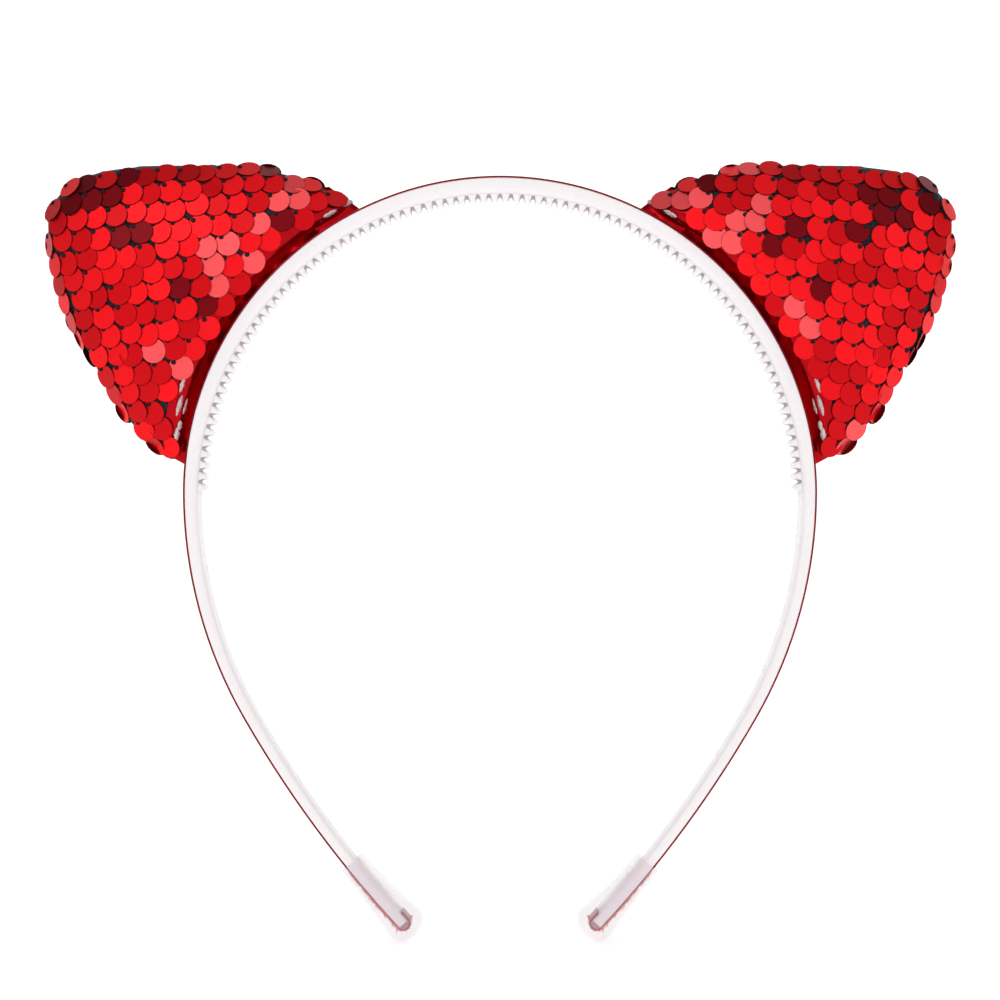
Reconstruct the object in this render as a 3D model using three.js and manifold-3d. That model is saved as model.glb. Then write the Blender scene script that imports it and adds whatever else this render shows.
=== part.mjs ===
// A sprung plastic hair hoop with a comb on its inner face, a foil ribbon on its outer face,
// soft clear tip caps and two stuffed cat ears. Millimetres.
// +Z is up as worn, +Y goes from the wearer's face to the back of the head, and +X is towards
// the wearer's left. The origin is the middle of the crown, level with the tips of the comb.

import * as THREE from 'three';
import { mergeVertices } from 'three/addons/utils/BufferGeometryUtils.js';
import Module from 'manifold-3d';

const wasm = await Module();
wasm.setup();

// The hoop's outer line is three tangent arcs down each side, measured on the ribbon's face.
const CROWN_RADIUS = 66;
const TEMPLE_RADIUS = 94.9;
const TAIL_RADIUS = 241;
const CROWN_TURN = THREE.MathUtils.degToRad(90);
const TEMPLE_TURN = THREE.MathUtils.degToRad(29.9);
const TAIL_TURN = THREE.MathUtils.degToRad(12.9);

// Plastic band: its depth is along Y and its thickness is towards the head.
const BAND_DEPTH = 10;
const BAND_TIP_DEPTH = 7;
const BAND_THICKNESS = 3.3;
const BAND_TEMPLE_THICKNESS = 2.7;
const BAND_TIP_THICKNESS = 2.2;
const OUTER_CHAMFER = 0.4;
const INNER_CHAMFER = 0.8;

// Foil ribbon glued to the outer face, folded back over each tip.
const RIBBON_THICKNESS = 0.3;
const GLUE_LINE = 0.1;
const RIBBON_INSET = 0.3;
const RIBBON_FOLD_LENGTH = 2;
const FOLD_STEPS = 6;
const BAND_OFFSET = RIBBON_THICKNESS + GLUE_LINE;

// Comb: one gap lies on the middle of the crown, and the teeth cover the upper half circle.
const TEETH = 84;
const TOOTH_PITCH = Math.PI / TEETH;
const TOOTH_HEIGHT = 1.4;
const TOOTH_ROOT = 1.7;
const TOOTH_TIP = 0.9;
const TOOTH_SHOULDER = 1.15;
const TOOTH_DEPTH = 8.4;
const TOOTH_SUNK = 0.5;

// The hoop bends all along the crown. Here it turns at two sections, between two teeth.
const FLEX_TEETH = 6;
const FLEX_ANGLE = FLEX_TEETH * TOOTH_PITCH;
const FLEX_GAP = 0.3;
const ARM_CROWN_STEPS = (TEETH / 2 - FLEX_TEETH) / 2;
const ARM_TEMPLE_STEPS = 9;
const ARM_TAIL_STEPS = 9;

// Tip cap: a clear sleeve that ends in a flared round nose.
const CAP_LENGTH = 20.5;
const CAP_NOSE = 3.8;
const CAP_CLEARANCE = 0.3;
const CAP_MOUTH_WALL = 1;
const CAP_NOSE_WALL = 2.3;
const CAP_DEPTH_WALL = 0.9;
const CAP_SIDES = 16;
const CAP_SQUARENESS = 0.7;
const CAP_THICKNESS_EASE = 1.12;
const CAP_DEPTH_EASE = 1.06;
const CAP_SLEEVE_SHARES = [0, 0.25, 0.5, 0.75, 1];
const CAP_NOSE_SHARES = [0.5, 0.8, 0.95, 1];
const CAP_HOLLOW_SHARE = 0.95;

// Ear, in the plane of the hoop, from the centre of the crown's arc.
const EAR_START = THREE.MathUtils.degToRad(26.2);
const EAR_END = THREE.MathUtils.degToRad(84.9);
const EAR_BASE_RADIUS = CROWN_RADIUS + 1.2;
const EAR_MIDDLE_RADIUS = 84;
const EAR_MIDDLE_ANGLE = THREE.MathUtils.degToRad(55.5);
const EAR_HALF_THICKNESS = 8.5;
const EAR_BASE_HALF = 4.05;
const EAR_SEAM_GAP = 0.2;
const EAR_CROWN_EDGE = 2.6;
const EAR_CROWN_FULLNESS = 0.55;
const EAR_BASE_FULLNESS = 0.4;
const PANEL_THICKNESS = 0.8;
const PAD_CLEARANCE = 0.4;
// Its free edge, from the upper root over the point to the lower root: each row has the two
// handles and the end of one curve, and the last curve ends at the lower root.
const EAR_EDGE_CURVES = [
  [[38, 66.4], [49, 69.2], [58, 69.2]],
  [[66, 69.2], [76, 69.6], [83, 68.1]],
  [[91.5, 66.3], [96.6, 61.5], [95.4, 54]],
  [[94, 45.5], [92.4, 38], [88.4, 31]],
  [[85.2, 25.4], [81.5, 20], [78.4, 15]],
  [[75.4, 10.6], [70.8, 8]],
];
const EDGE_STEPS = 24;
const BASE_STEPS = 14;
const TAPE_RIMS = [0.84, 0.95, 1];
const PILLOW_RIMS = [...TAPE_RIMS.toReversed(), 0.7, 0.5, 0.26, 0];

// Glossy tape folded up round the base of each ear.
const TAPE_THICKNESS = 0.6;
const TAPE_CLEARANCE = 0.3;

// Clear glue squeezed out over the tape, low on the front and the back of each ear.
const BEAD_START = THREE.MathUtils.degToRad(71);
const BEAD_END = THREE.MathUtils.degToRad(80);
const BEAD_HEIGHT = 1.1;
const BEAD_EDGE = 0.15;
const BEAD_RIMS = [0.98, 0.86];
const BEAD_STEPS = 6;
const BEAD_ACROSS = [0, 0.25, 0.5, 0.75, 1];

// Corners closer than this are one corner.
const WELD = 1e-4;

const CROWN_CENTRE_Z = -(CROWN_RADIUS - BAND_OFFSET - BAND_THICKNESS - TOOTH_HEIGHT);

const finish = (color, roughness, metalness = 0) =>
  new THREE.MeshStandardMaterial({ color, roughness, metalness });
const whitePlastic = finish('#f6f2f2', 0.3);
const redFoil = finish('#b3121c', 0.25, 0.7);
const clearVinyl = finish('#f2eeee', 0.15);
const sequinFabric = finish('#d9101b', 0.35, 0.4);
const whiteFoam = finish('#efeae4', 0.9);
const glossTape = finish('#9c0713', 0.15);
const clearGlue = finish('#f3e3e0', 0.12);

const group = new THREE.Group();

function addPart(name, geometry, material) {
  const mesh = new THREE.Mesh(geometry, material);
  mesh.name = name;
  group.add(mesh);
}

// A point and its outward normal angle on the hoop's outer line, at a turn from the top.
function hoopLine(turn) {
  const templeX = CROWN_RADIUS - TEMPLE_RADIUS;
  const tailStart = CROWN_TURN + TEMPLE_TURN;
  const tailX = templeX + (TEMPLE_RADIUS - TAIL_RADIUS) * Math.sin(tailStart);
  const tailZ = (TEMPLE_RADIUS - TAIL_RADIUS) * Math.cos(tailStart);
  const [radius, x, z] = turn <= CROWN_TURN ? [CROWN_RADIUS, 0, 0]
    : turn <= tailStart ? [TEMPLE_RADIUS, templeX, 0] : [TAIL_RADIUS, tailX, tailZ];
  return {
    x: x + radius * Math.sin(turn),
    z: CROWN_CENTRE_Z + z + radius * Math.cos(turn),
    normalX: Math.sin(turn),
    normalZ: Math.cos(turn),
  };
}

const HOOP_TURN = CROWN_TURN + TEMPLE_TURN + TAIL_TURN;

function pointAt(turn, depth, inward) {
  const line = hoopLine(turn);
  return new THREE.Vector3(line.x - inward * line.normalX, depth, line.z - inward * line.normalZ);
}

function bandThickness(turn) {
  if (turn <= CROWN_TURN) {
    return THREE.MathUtils.lerp(BAND_THICKNESS, BAND_TEMPLE_THICKNESS, (turn / CROWN_TURN) ** 2);
  }
  const share = (turn - CROWN_TURN) / (HOOP_TURN - CROWN_TURN);
  return THREE.MathUtils.lerp(BAND_TEMPLE_THICKNESS, BAND_TIP_THICKNESS, share);
}

function bandDepth(turn) {
  const share = Math.max(0, (turn - CROWN_TURN) / (HOOP_TURN - CROWN_TURN));
  return THREE.MathUtils.lerp(BAND_DEPTH, BAND_TIP_DEPTH, share);
}

function volumeOf(triangles) {
  const crossed = new THREE.Vector3();
  return triangles.reduce((sum, [a, b, c]) => sum + crossed.crossVectors(a, b).dot(c) / 6, 0);
}

// A closed solid between two grids of points. Closed grids run round and join on themselves.
function solidBetween(top, bottom, closed = false) {
  const triangles = [];
  const quad = (a, b, c, d) => triangles.push([a, b, c], [a, c, d]);
  const rows = top.length;
  const columns = top[0].length;
  const spans = closed ? columns : columns - 1;
  for (let i = 0; i < rows; i++) {
    for (let j = 0; j < spans; j++) {
      const k = (j + 1) % columns;
      if (i < rows - 1) {
        quad(top[i][j], top[i][k], top[i + 1][k], top[i + 1][j]);
        quad(bottom[i][j], bottom[i + 1][j], bottom[i + 1][k], bottom[i][k]);
      }
      if (i === 0) quad(top[i][j], bottom[i][j], bottom[i][k], top[i][k]);
      if (i === rows - 1) quad(top[i][j], top[i][k], bottom[i][k], bottom[i][j]);
    }
    if (!closed && i < rows - 1) {
      const last = columns - 1;
      quad(top[i][0], top[i + 1][0], bottom[i + 1][0], bottom[i][0]);
      quad(top[i][last], bottom[i][last], bottom[i + 1][last], top[i + 1][last]);
    }
  }
  return geometryFrom(triangles);
}

// Merges the shared corners, drops the triangles that closed up, and turns the faces outwards.
function geometryFrom(triangles) {
  const ordered = volumeOf(triangles) < 0 ? triangles.map(([a, b, c]) => [a, c, b]) : triangles;
  const loose = new THREE.BufferGeometry().setFromPoints(ordered.flat());
  const geometry = mergeVertices(loose, WELD);
  const corners = Array.from(geometry.index.array);
  const kept = [];
  for (let i = 0; i < corners.length; i += 3) {
    const [a, b, c] = corners.slice(i, i + 3);
    if (a !== b && b !== c && c !== a) kept.push(a, b, c);
  }
  geometry.setIndex(kept);
  return geometry;
}

function toSolid(geometry) {
  const bare = geometry.clone();
  bare.deleteAttribute('normal');
  bare.deleteAttribute('uv');
  const merged = mergeVertices(bare, WELD);
  const vertProperties = new Float32Array(merged.attributes.position.array);
  const triVerts = new Uint32Array(merged.index.array);
  return new wasm.Manifold(new wasm.Mesh({ numProp: 3, vertProperties, triVerts }));
}

function toGeometry(solid) {
  const mesh = solid.getMesh();
  const geometry = new THREE.BufferGeometry();
  geometry.setAttribute('position', new THREE.BufferAttribute(mesh.vertProperties, 3));
  geometry.setIndex(new THREE.BufferAttribute(mesh.triVerts, 1));
  return geometry;
}

function turnsBetween(start, end, steps) {
  return Array.from({ length: steps + 1 }, (_, i) => THREE.MathUtils.lerp(start, end, i / steps));
}

// Sweeps the plastic band along a list of turns, with every edge chamfered.
function bandGeometry(turns) {
  const outer = [];
  const inner = [];
  for (const turn of turns) {
    const half = bandDepth(Math.abs(turn)) / 2;
    const inside = BAND_OFFSET + bandThickness(Math.abs(turn));
    const at = (depth, inward) => mirrored(pointAt(Math.abs(turn), depth, inward), turn < 0);
    outer.push([
      at(-half, BAND_OFFSET + OUTER_CHAMFER),
      at(-half + OUTER_CHAMFER, BAND_OFFSET),
      at(half - OUTER_CHAMFER, BAND_OFFSET),
      at(half, BAND_OFFSET + OUTER_CHAMFER),
    ]);
    inner.push([
      at(-half, inside - INNER_CHAMFER),
      at(-half + INNER_CHAMFER, inside),
      at(half - INNER_CHAMFER, inside),
      at(half, inside - INNER_CHAMFER),
    ]);
  }
  return solidBetween(outer, inner);
}

function mirrored(point, flip) {
  if (flip) point.x = -point.x;
  return point;
}

// One comb tooth: a wedge across the band, pointing at the head.
function toothGeometry(turn) {
  const root = BAND_OFFSET + bandThickness(Math.abs(turn)) - TOOTH_SUNK;
  const rise = TOOTH_SUNK + TOOTH_HEIGHT;
  const shoulder = TOOTH_SUNK + TOOTH_SHOULDER;
  const profile = new THREE.Shape();
  profile.moveTo(-TOOTH_ROOT / 2, 0);
  profile.lineTo(TOOTH_ROOT / 2, 0);
  profile.lineTo(TOOTH_TIP / 2, -shoulder);
  profile.lineTo(0, -rise);
  profile.lineTo(-TOOTH_TIP / 2, -shoulder);
  const tooth = new THREE.ExtrudeGeometry(profile, { depth: TOOTH_DEPTH, bevelEnabled: false });
  tooth.translate(0, CROWN_RADIUS - root, -TOOTH_DEPTH / 2);
  tooth.rotateX(Math.PI / 2);
  tooth.rotateY(turn);
  tooth.translate(0, 0, CROWN_CENTRE_Z);
  return tooth;
}

function combedBand(turns, firstTooth, lastTooth) {
  let solid = toSolid(bandGeometry(turns));
  for (let tooth = firstTooth; tooth < lastTooth; tooth++) {
    solid = solid.add(toSolid(toothGeometry((tooth + 0.5) * TOOTH_PITCH)));
  }
  return toGeometry(solid);
}

function ribbonRow(point, normalX, normalZ, half) {
  const inside = [
    point.x - RIBBON_THICKNESS * normalX,
    point.z - RIBBON_THICKNESS * normalZ,
  ];
  return {
    face: [-half, half].map((y) => new THREE.Vector3(point.x, y, point.z)),
    back: [-half, half].map((y) => new THREE.Vector3(inside[0], y, inside[1])),
  };
}

function ribbonGeometry(turns, folded) {
  const rows = turns.map((turn) => {
    const line = hoopLine(Math.abs(turn));
    const flip = turn < 0 ? -1 : 1;
    const half = bandDepth(Math.abs(turn)) / 2 - RIBBON_INSET;
    return ribbonRow({ x: flip * line.x, z: line.z }, flip * line.normalX, line.normalZ, half);
  });
  if (folded) rows.push(...ribbonFold());
  return solidBetween(rows.map((row) => row.face), rows.map((row) => row.back));
}

// The ribbon's end runs round the tip of the band and a little way up its inner face.
function ribbonFold() {
  const tip = hoopLine(HOOP_TURN);
  const radius = BAND_OFFSET + BAND_TIP_THICKNESS / 2;
  const half = BAND_TIP_DEPTH / 2 - RIBBON_INSET;
  const middle = { x: tip.x - radius * tip.normalX, z: tip.z - radius * tip.normalZ };
  const rows = turnsBetween(HOOP_TURN, HOOP_TURN + Math.PI, FOLD_STEPS).slice(1).map((turn) => {
    const normal = { x: Math.sin(turn), z: Math.cos(turn) };
    const point = { x: middle.x + radius * normal.x, z: middle.z + radius * normal.z };
    return ribbonRow(point, normal.x, normal.z, half);
  });
  const back = {
    x: middle.x - radius * tip.normalX - RIBBON_FOLD_LENGTH * tip.normalZ,
    z: middle.z - radius * tip.normalZ + RIBBON_FOLD_LENGTH * tip.normalX,
  };
  rows.push(ribbonRow(back, -tip.normalX, -tip.normalZ, half));
  return rows;
}

// A rounded rectangle round the band's middle line, as one ring of the cap.
function capRing(along, halfThickness, halfDepth) {
  const past = Math.max(0, along);
  const turn = HOOP_TURN + Math.min(0, along) / TAIL_RADIUS;
  const line = hoopLine(turn);
  const middle = BAND_OFFSET + bandThickness(turn) / 2;
  const ring = [];
  for (let side = 0; side < CAP_SIDES; side++) {
    const angle = (side / CAP_SIDES) * 2 * Math.PI;
    const round = (value) => Math.sign(value) * Math.abs(value) ** CAP_SQUARENESS;
    const inward = middle - halfThickness * round(Math.cos(angle));
    ring.push(new THREE.Vector3(
      line.x - inward * line.normalX + past * line.normalZ,
      halfDepth * round(Math.sin(angle)),
      line.z - inward * line.normalZ - past * line.normalX,
    ));
  }
  return ring;
}

function capGeometry() {
  const sleeve = CAP_LENGTH - CAP_NOSE;
  const hollowEnd = BAND_OFFSET + BAND_TIP_THICKNESS / 2 + CAP_CLEARANCE;
  const outer = [];
  const inner = [];
  const fit = (along) => {
    const turn = HOOP_TURN + Math.min(0, along) / TAIL_RADIUS;
    return {
      halfThickness: BAND_OFFSET + bandThickness(turn) / 2 + CAP_CLEARANCE,
      halfDepth: bandDepth(turn) / 2 + CAP_CLEARANCE,
    };
  };
  for (const share of CAP_SLEEVE_SHARES) {
    const along = -sleeve * (1 - share);
    const { halfThickness, halfDepth } = fit(along);
    const wall = THREE.MathUtils.lerp(CAP_MOUTH_WALL, CAP_NOSE_WALL, share ** 2);
    outer.push(capRing(along, halfThickness + wall, halfDepth + CAP_DEPTH_WALL));
    inner.push(capRing(along, halfThickness * CAP_THICKNESS_EASE, halfDepth * CAP_DEPTH_EASE));
  }
  for (const share of CAP_NOSE_SHARES) {
    const scale = Math.sqrt(1 - share ** 2);
    const { halfThickness, halfDepth } = fit(0);
    const outerHalf = [halfThickness + CAP_NOSE_WALL, halfDepth + CAP_DEPTH_WALL];
    outer.push(capRing(CAP_NOSE * share, outerHalf[0] * scale, outerHalf[1] * scale));
    const open = share < 1 ? 1 : 0;
    inner.push(capRing(
      hollowEnd * Math.min(1, share / CAP_HOLLOW_SHARE),
      open * halfThickness * CAP_THICKNESS_EASE,
      open * halfDepth * CAP_DEPTH_EASE,
    ));
  }
  return solidBetween(outer, inner, true);
}

const earMiddle = new THREE.Vector2(
  EAR_MIDDLE_RADIUS * Math.sin(EAR_MIDDLE_ANGLE),
  EAR_MIDDLE_RADIUS * Math.cos(EAR_MIDDLE_ANGLE),
);

function basePoint(angle) {
  const share = (angle - EAR_START) / (EAR_END - EAR_START);
  const swell = Math.max(0, Math.sin(Math.PI * share)) ** EAR_BASE_FULLNESS;
  return {
    x: EAR_BASE_RADIUS * Math.sin(angle),
    z: EAR_BASE_RADIUS * Math.cos(angle),
    half: EAR_BASE_HALF * swell,
  };
}

// The ear's free edge, from its upper root over the point to its lower root.
function earEdge() {
  const upper = basePoint(EAR_START);
  const lower = basePoint(EAR_END);
  const path = new THREE.CurvePath();
  let corner = new THREE.Vector2(upper.x, upper.z);
  for (const row of EAR_EDGE_CURVES) {
    const points = row.map((pair) => new THREE.Vector2(...pair));
    const [first, second, end = new THREE.Vector2(lower.x, lower.z)] = points;
    path.add(new THREE.CubicBezierCurve(corner, first, second, end));
    corner = end;
  }
  return path.getSpacedPoints(EDGE_STEPS).map((point) => ({ x: point.x, z: point.y, half: 0 }));
}

const earOutline = [
  ...earEdge(),
  ...turnsBetween(EAR_END, EAR_START, BASE_STEPS).slice(1, -1).map(basePoint),
];

// A point of the ear's pillow: rim is 1 at the outline and 0 at the middle of the ear.
function pillowPoint(outline, rim, lift, inset = 0) {
  const dx = outline.x - earMiddle.x;
  const dz = outline.z - earMiddle.y;
  const reach = rim * (1 - inset / Math.hypot(dx, dz));
  const dome = (1 - rim ** EAR_CROWN_EDGE) ** EAR_CROWN_FULLNESS;
  const half = outline.half + (EAR_HALF_THICKNESS - outline.half) * dome;
  return new THREE.Vector3(
    earMiddle.x + reach * dx,
    EAR_SEAM_GAP + Math.max(0, half + lift),
    CROWN_CENTRE_Z + earMiddle.y + reach * dz,
  );
}

function placed(grid, side, face) {
  return grid.map((row) => row.map((p) => new THREE.Vector3(side * p.x, face * p.y, p.z)));
}

function pillowGrid(lift, inset) {
  return PILLOW_RIMS.map((rim) => earOutline.map((o) => pillowPoint(o, rim, lift, inset)));
}

function panelGeometry(side, face) {
  const outside = placed(pillowGrid(0, 0), side, face);
  const inside = placed(pillowGrid(-PANEL_THICKNESS, PANEL_THICKNESS), side, face);
  return solidBetween(outside, inside, true);
}

function padGeometry(side) {
  const sunk = PANEL_THICKNESS + PAD_CLEARANCE;
  const front = placed(pillowGrid(-sunk, 2 * sunk), side, -1);
  const back = placed(pillowGrid(-sunk, 2 * sunk), side, 1);
  return solidBetween(front, back, true);
}

// The tape's cross-section at one angle: up the front wall, under the base and up the back.
function tapeRow(angle, lift, floor) {
  const outline = basePoint(angle);
  const wall = TAPE_RIMS.map((rim) => pillowPoint(outline, rim, lift));
  const foot = wall[2].clone();
  foot.x = floor * Math.sin(angle);
  foot.z = CROWN_CENTRE_Z + floor * Math.cos(angle);
  const front = [...wall, foot];
  const behind = front.map((p) => new THREE.Vector3(p.x, -p.y, p.z)).reverse();
  return [...front, ...behind];
}

function tapeGeometry(side) {
  const angles = turnsBetween(EAR_START, EAR_END, BASE_STEPS).slice(1, -1);
  const floor = CROWN_RADIUS + TAPE_CLEARANCE;
  const outer = angles.map((a) => tapeRow(a, TAPE_CLEARANCE + TAPE_THICKNESS, floor));
  const inner = angles.map((a) => tapeRow(a, TAPE_CLEARANCE, floor + TAPE_THICKNESS));
  return solidBetween(placed(outer, side, 1), placed(inner, side, 1));
}

// A low bead that follows the tape's wall and thins out to its edges.
function beadGeometry(side, face) {
  const floor = 2 * TAPE_CLEARANCE + TAPE_THICKNESS;
  const row = (angle, along, height) => BEAD_ACROSS.map((across) => {
    const rim = THREE.MathUtils.lerp(BEAD_RIMS[0], BEAD_RIMS[1], across);
    const bulge = BEAD_EDGE + BEAD_HEIGHT * Math.sin(Math.PI * along) * Math.sin(Math.PI * across);
    return pillowPoint(basePoint(angle), rim, floor + height * bulge);
  });
  const rows = turnsBetween(0, 1, BEAD_STEPS);
  const angleAt = (along) => THREE.MathUtils.lerp(BEAD_START, BEAD_END, along);
  const outside = rows.map((along) => row(angleAt(along), along, 1));
  const inside = rows.map((along) => row(angleAt(along), along, 0));
  return solidBetween(placed(outside, side, face), placed(inside, side, face));
}

// The left arm is the right arm mirrored, so its triangles are turned round.
function mirroredGeometry(geometry) {
  const copy = geometry.clone();
  copy.scale(-1, 1, 1);
  const corners = copy.index.array;
  for (let i = 0; i < corners.length; i += 3) {
    [corners[i], corners[i + 1]] = [corners[i + 1], corners[i]];
  }
  return copy;
}

const gapTurn = FLEX_GAP / 2 / CROWN_RADIUS;
const crownTurns = turnsBetween(-FLEX_ANGLE + gapTurn, FLEX_ANGLE - gapTurn, FLEX_TEETH);
const armTurns = [
  ...turnsBetween(FLEX_ANGLE + gapTurn, CROWN_TURN, ARM_CROWN_STEPS),
  ...turnsBetween(CROWN_TURN, CROWN_TURN + TEMPLE_TURN, ARM_TEMPLE_STEPS).slice(1),
  ...turnsBetween(CROWN_TURN + TEMPLE_TURN, HOOP_TURN, ARM_TAIL_STEPS).slice(1),
];

addPart('hoop_crown', combedBand(crownTurns, -FLEX_TEETH, FLEX_TEETH), whitePlastic);
addPart('ribbon_crown', ribbonGeometry(crownTurns, false), redFoil);

const armBand = combedBand(armTurns, FLEX_TEETH, TEETH / 2);
const armRibbon = ribbonGeometry(armTurns, true);
const armCap = capGeometry();

for (const [name, side] of [['left', -1], ['right', 1]]) {
  const onSide = (geometry) => (side < 0 ? mirroredGeometry(geometry) : geometry);
  addPart(`hoop_${name}_arm`, onSide(armBand), whitePlastic);
  addPart(`ribbon_${name}`, onSide(armRibbon), redFoil);
  addPart(`tip_cap_${name}`, onSide(armCap), clearVinyl);
  addPart(`ear_base_tape_${name}`, tapeGeometry(side), glossTape);
  addPart(`ear_foam_pad_${name}`, padGeometry(side), whiteFoam);
  for (const [place, face] of [['front', -1], ['back', 1]]) {
    addPart(`ear_${place}_panel_${name}`, panelGeometry(side, face), sequinFabric);
    addPart(`glue_bead_${place}_${name}`, beadGeometry(side, face), clearGlue);
  }
}

export default group;
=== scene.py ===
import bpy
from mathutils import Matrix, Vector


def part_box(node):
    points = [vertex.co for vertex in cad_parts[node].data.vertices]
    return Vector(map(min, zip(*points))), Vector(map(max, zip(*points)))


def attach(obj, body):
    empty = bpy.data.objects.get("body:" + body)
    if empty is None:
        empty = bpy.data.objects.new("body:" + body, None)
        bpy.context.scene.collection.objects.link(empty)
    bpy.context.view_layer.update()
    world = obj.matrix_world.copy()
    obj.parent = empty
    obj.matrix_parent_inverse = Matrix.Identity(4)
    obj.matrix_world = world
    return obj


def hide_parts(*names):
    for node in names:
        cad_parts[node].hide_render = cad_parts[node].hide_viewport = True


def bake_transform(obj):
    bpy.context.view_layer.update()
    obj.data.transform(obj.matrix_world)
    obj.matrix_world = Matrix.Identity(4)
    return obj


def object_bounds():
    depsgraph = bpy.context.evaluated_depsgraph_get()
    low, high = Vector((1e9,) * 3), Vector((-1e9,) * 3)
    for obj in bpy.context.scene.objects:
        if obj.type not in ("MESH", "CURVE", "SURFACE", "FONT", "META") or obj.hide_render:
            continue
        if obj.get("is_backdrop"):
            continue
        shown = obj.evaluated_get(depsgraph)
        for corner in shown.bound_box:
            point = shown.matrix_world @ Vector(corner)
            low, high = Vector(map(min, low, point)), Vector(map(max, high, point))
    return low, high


bl_info = {
    "name": "Cat Ears Hair Hoop",
    "version": (1, 0, 0),
    "blender": (4, 5, 0),
    "location": "View3D > Sidebar > Hair Hoop",
    "description": "Builds a sprung hair hoop with a comb, a foil ribbon and two sequinned cat ears",
    "category": "Mesh",
}

import math
import random

import bmesh
import bpy
import numpy as np
from mathutils import Matrix, Vector, geometry, noise
from mathutils.bvhtree import BVHTree

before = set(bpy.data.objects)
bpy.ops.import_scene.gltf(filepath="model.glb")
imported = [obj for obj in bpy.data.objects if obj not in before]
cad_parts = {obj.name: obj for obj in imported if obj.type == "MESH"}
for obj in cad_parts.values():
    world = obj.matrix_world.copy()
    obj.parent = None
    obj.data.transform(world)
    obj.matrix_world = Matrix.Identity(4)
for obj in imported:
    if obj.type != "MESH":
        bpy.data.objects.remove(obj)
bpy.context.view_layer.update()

MM = 0.001
SIDES = {"left": -1, "right": 1}
FACES = {"front": -1, "back": 1}
RIBBON_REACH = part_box("ribbon_right")[1].x
CROWN_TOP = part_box("ribbon_crown")[1].z
BAND_LOW, BAND_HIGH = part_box("hoop_crown")
EAR_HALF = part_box("ear_back_panel_right")[1].y


def linear(code):
    """An sRGB hex code as linear red, green and blue."""
    values = [int(code[i:i + 2], 16) / 255 for i in (1, 3, 5)]
    return tuple(v / 12.92 if v <= 0.04045 else ((v + 0.055) / 1.055) ** 2.4 for v in values)


def length(name, description, default):
    return bpy.props.FloatProperty(
        name=name, description=description, default=default, min=0, unit="LENGTH", precision=5)


def angle(name, description, degrees):
    return bpy.props.FloatProperty(
        name=name, description=description, default=math.radians(degrees), subtype="ANGLE")


def colour(name, description, code):
    return bpy.props.FloatVectorProperty(
        name=name, description=description, default=linear(code), size=3, subtype="COLOR",
        min=0, max=1)


class HoopSizes(bpy.types.PropertyGroup):
    """Sizes of the plastic hoop, its comb, its ribbon and its tip caps."""

    crown_radius: length("Crown radius", "Ribbon face over the head", RIBBON_REACH)
    temple_radius: length("Temple radius", "Ribbon face beside the temples", 94.9 * MM)
    tail_radius: length("Tail radius", "Ribbon face behind the ears of the head", 241 * MM)
    temple_turn: angle("Temple turn", "How far the temple arc turns", 29.9)
    tail_turn: angle("Tail turn", "How far the tail arc turns", 12.9)
    band_depth: length("Band depth", "Front to back at the crown", BAND_HIGH.y - BAND_LOW.y)
    tip_depth: length("Tip depth", "Front to back at the tips", 7 * MM)
    band_thickness: length("Band thickness", "Plastic at the crown", 3.3 * MM)
    temple_thickness: length("Temple thickness", "Plastic beside the temples", 2.7 * MM)
    tip_thickness: length("Tip thickness", "Plastic at the tips", 2.2 * MM)
    ribbon_thickness: length("Ribbon thickness", "Foil and its backing", 0.38 * MM)
    ribbon_inset: length("Ribbon inset", "Band left bare beside the ribbon", 0.3 * MM)
    glue_line: length("Glue line", "Glue between ribbon and plastic", 0.02 * MM)
    teeth: bpy.props.IntProperty(
        name="Teeth", description="Comb teeth over the upper half circle", default=84, min=2)
    tooth_height: length("Tooth height", "From the band to a tooth's tip", 1.4 * MM)
    tooth_root: length("Tooth root", "A tooth's thickness where it leaves the band", 1.75 * MM)
    tooth_depth: length("Tooth depth", "Front to back across the comb", 8.4 * MM)
    cap_length: length("Cap length", "From the cap's mouth to its nose", 20.5 * MM)
    cap_nose: length("Cap nose", "Rounded end past the plastic", 3.8 * MM)


class EarSizes(bpy.types.PropertyGroup):
    """Sizes of the stuffed ears and their sequins."""

    start: angle("Upper root", "Where the ear's base starts, from the top of the hoop", 26.2)
    end: angle("Lower root", "Where the ear's base ends, from the top of the hoop", 84.9)
    base_gap: length("Base gap", "From the ribbon to the ear's cover", 1.2 * MM)
    base_half: length("Base half thickness", "Half the ear's thickness at its base", 4.05 * MM)
    half_thickness: length("Half thickness", "Half the ear's thickness", EAR_HALF)
    sequin: length("Sequin", "Diameter of one sequin", 5.25 * MM)
    film: length("Film", "Thickness of a sequin", 0.1 * MM)
    pitch: length("Pitch", "From one stitch to the next along a row", 4.2 * MM)
    row_gap: length("Row gap", "From one row of stitches to the next", 4.0 * MM)
    row_shift: length("Row shift", "How far each row is staggered", 1.2 * MM)
    row_slope: angle("Row slope", "How far the rows rise towards the crown", 5.5)
    voxel: length("Voxel", "Mesh size of the cover before it is inflated", 1.1 * MM)
    pressure: bpy.props.FloatProperty(
        name="Pressure", description="Inflation of the cloth cover", default=4, min=0)
    seed: bpy.props.IntProperty(name="Seed", description="Order of the sequins", default=7)


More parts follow.
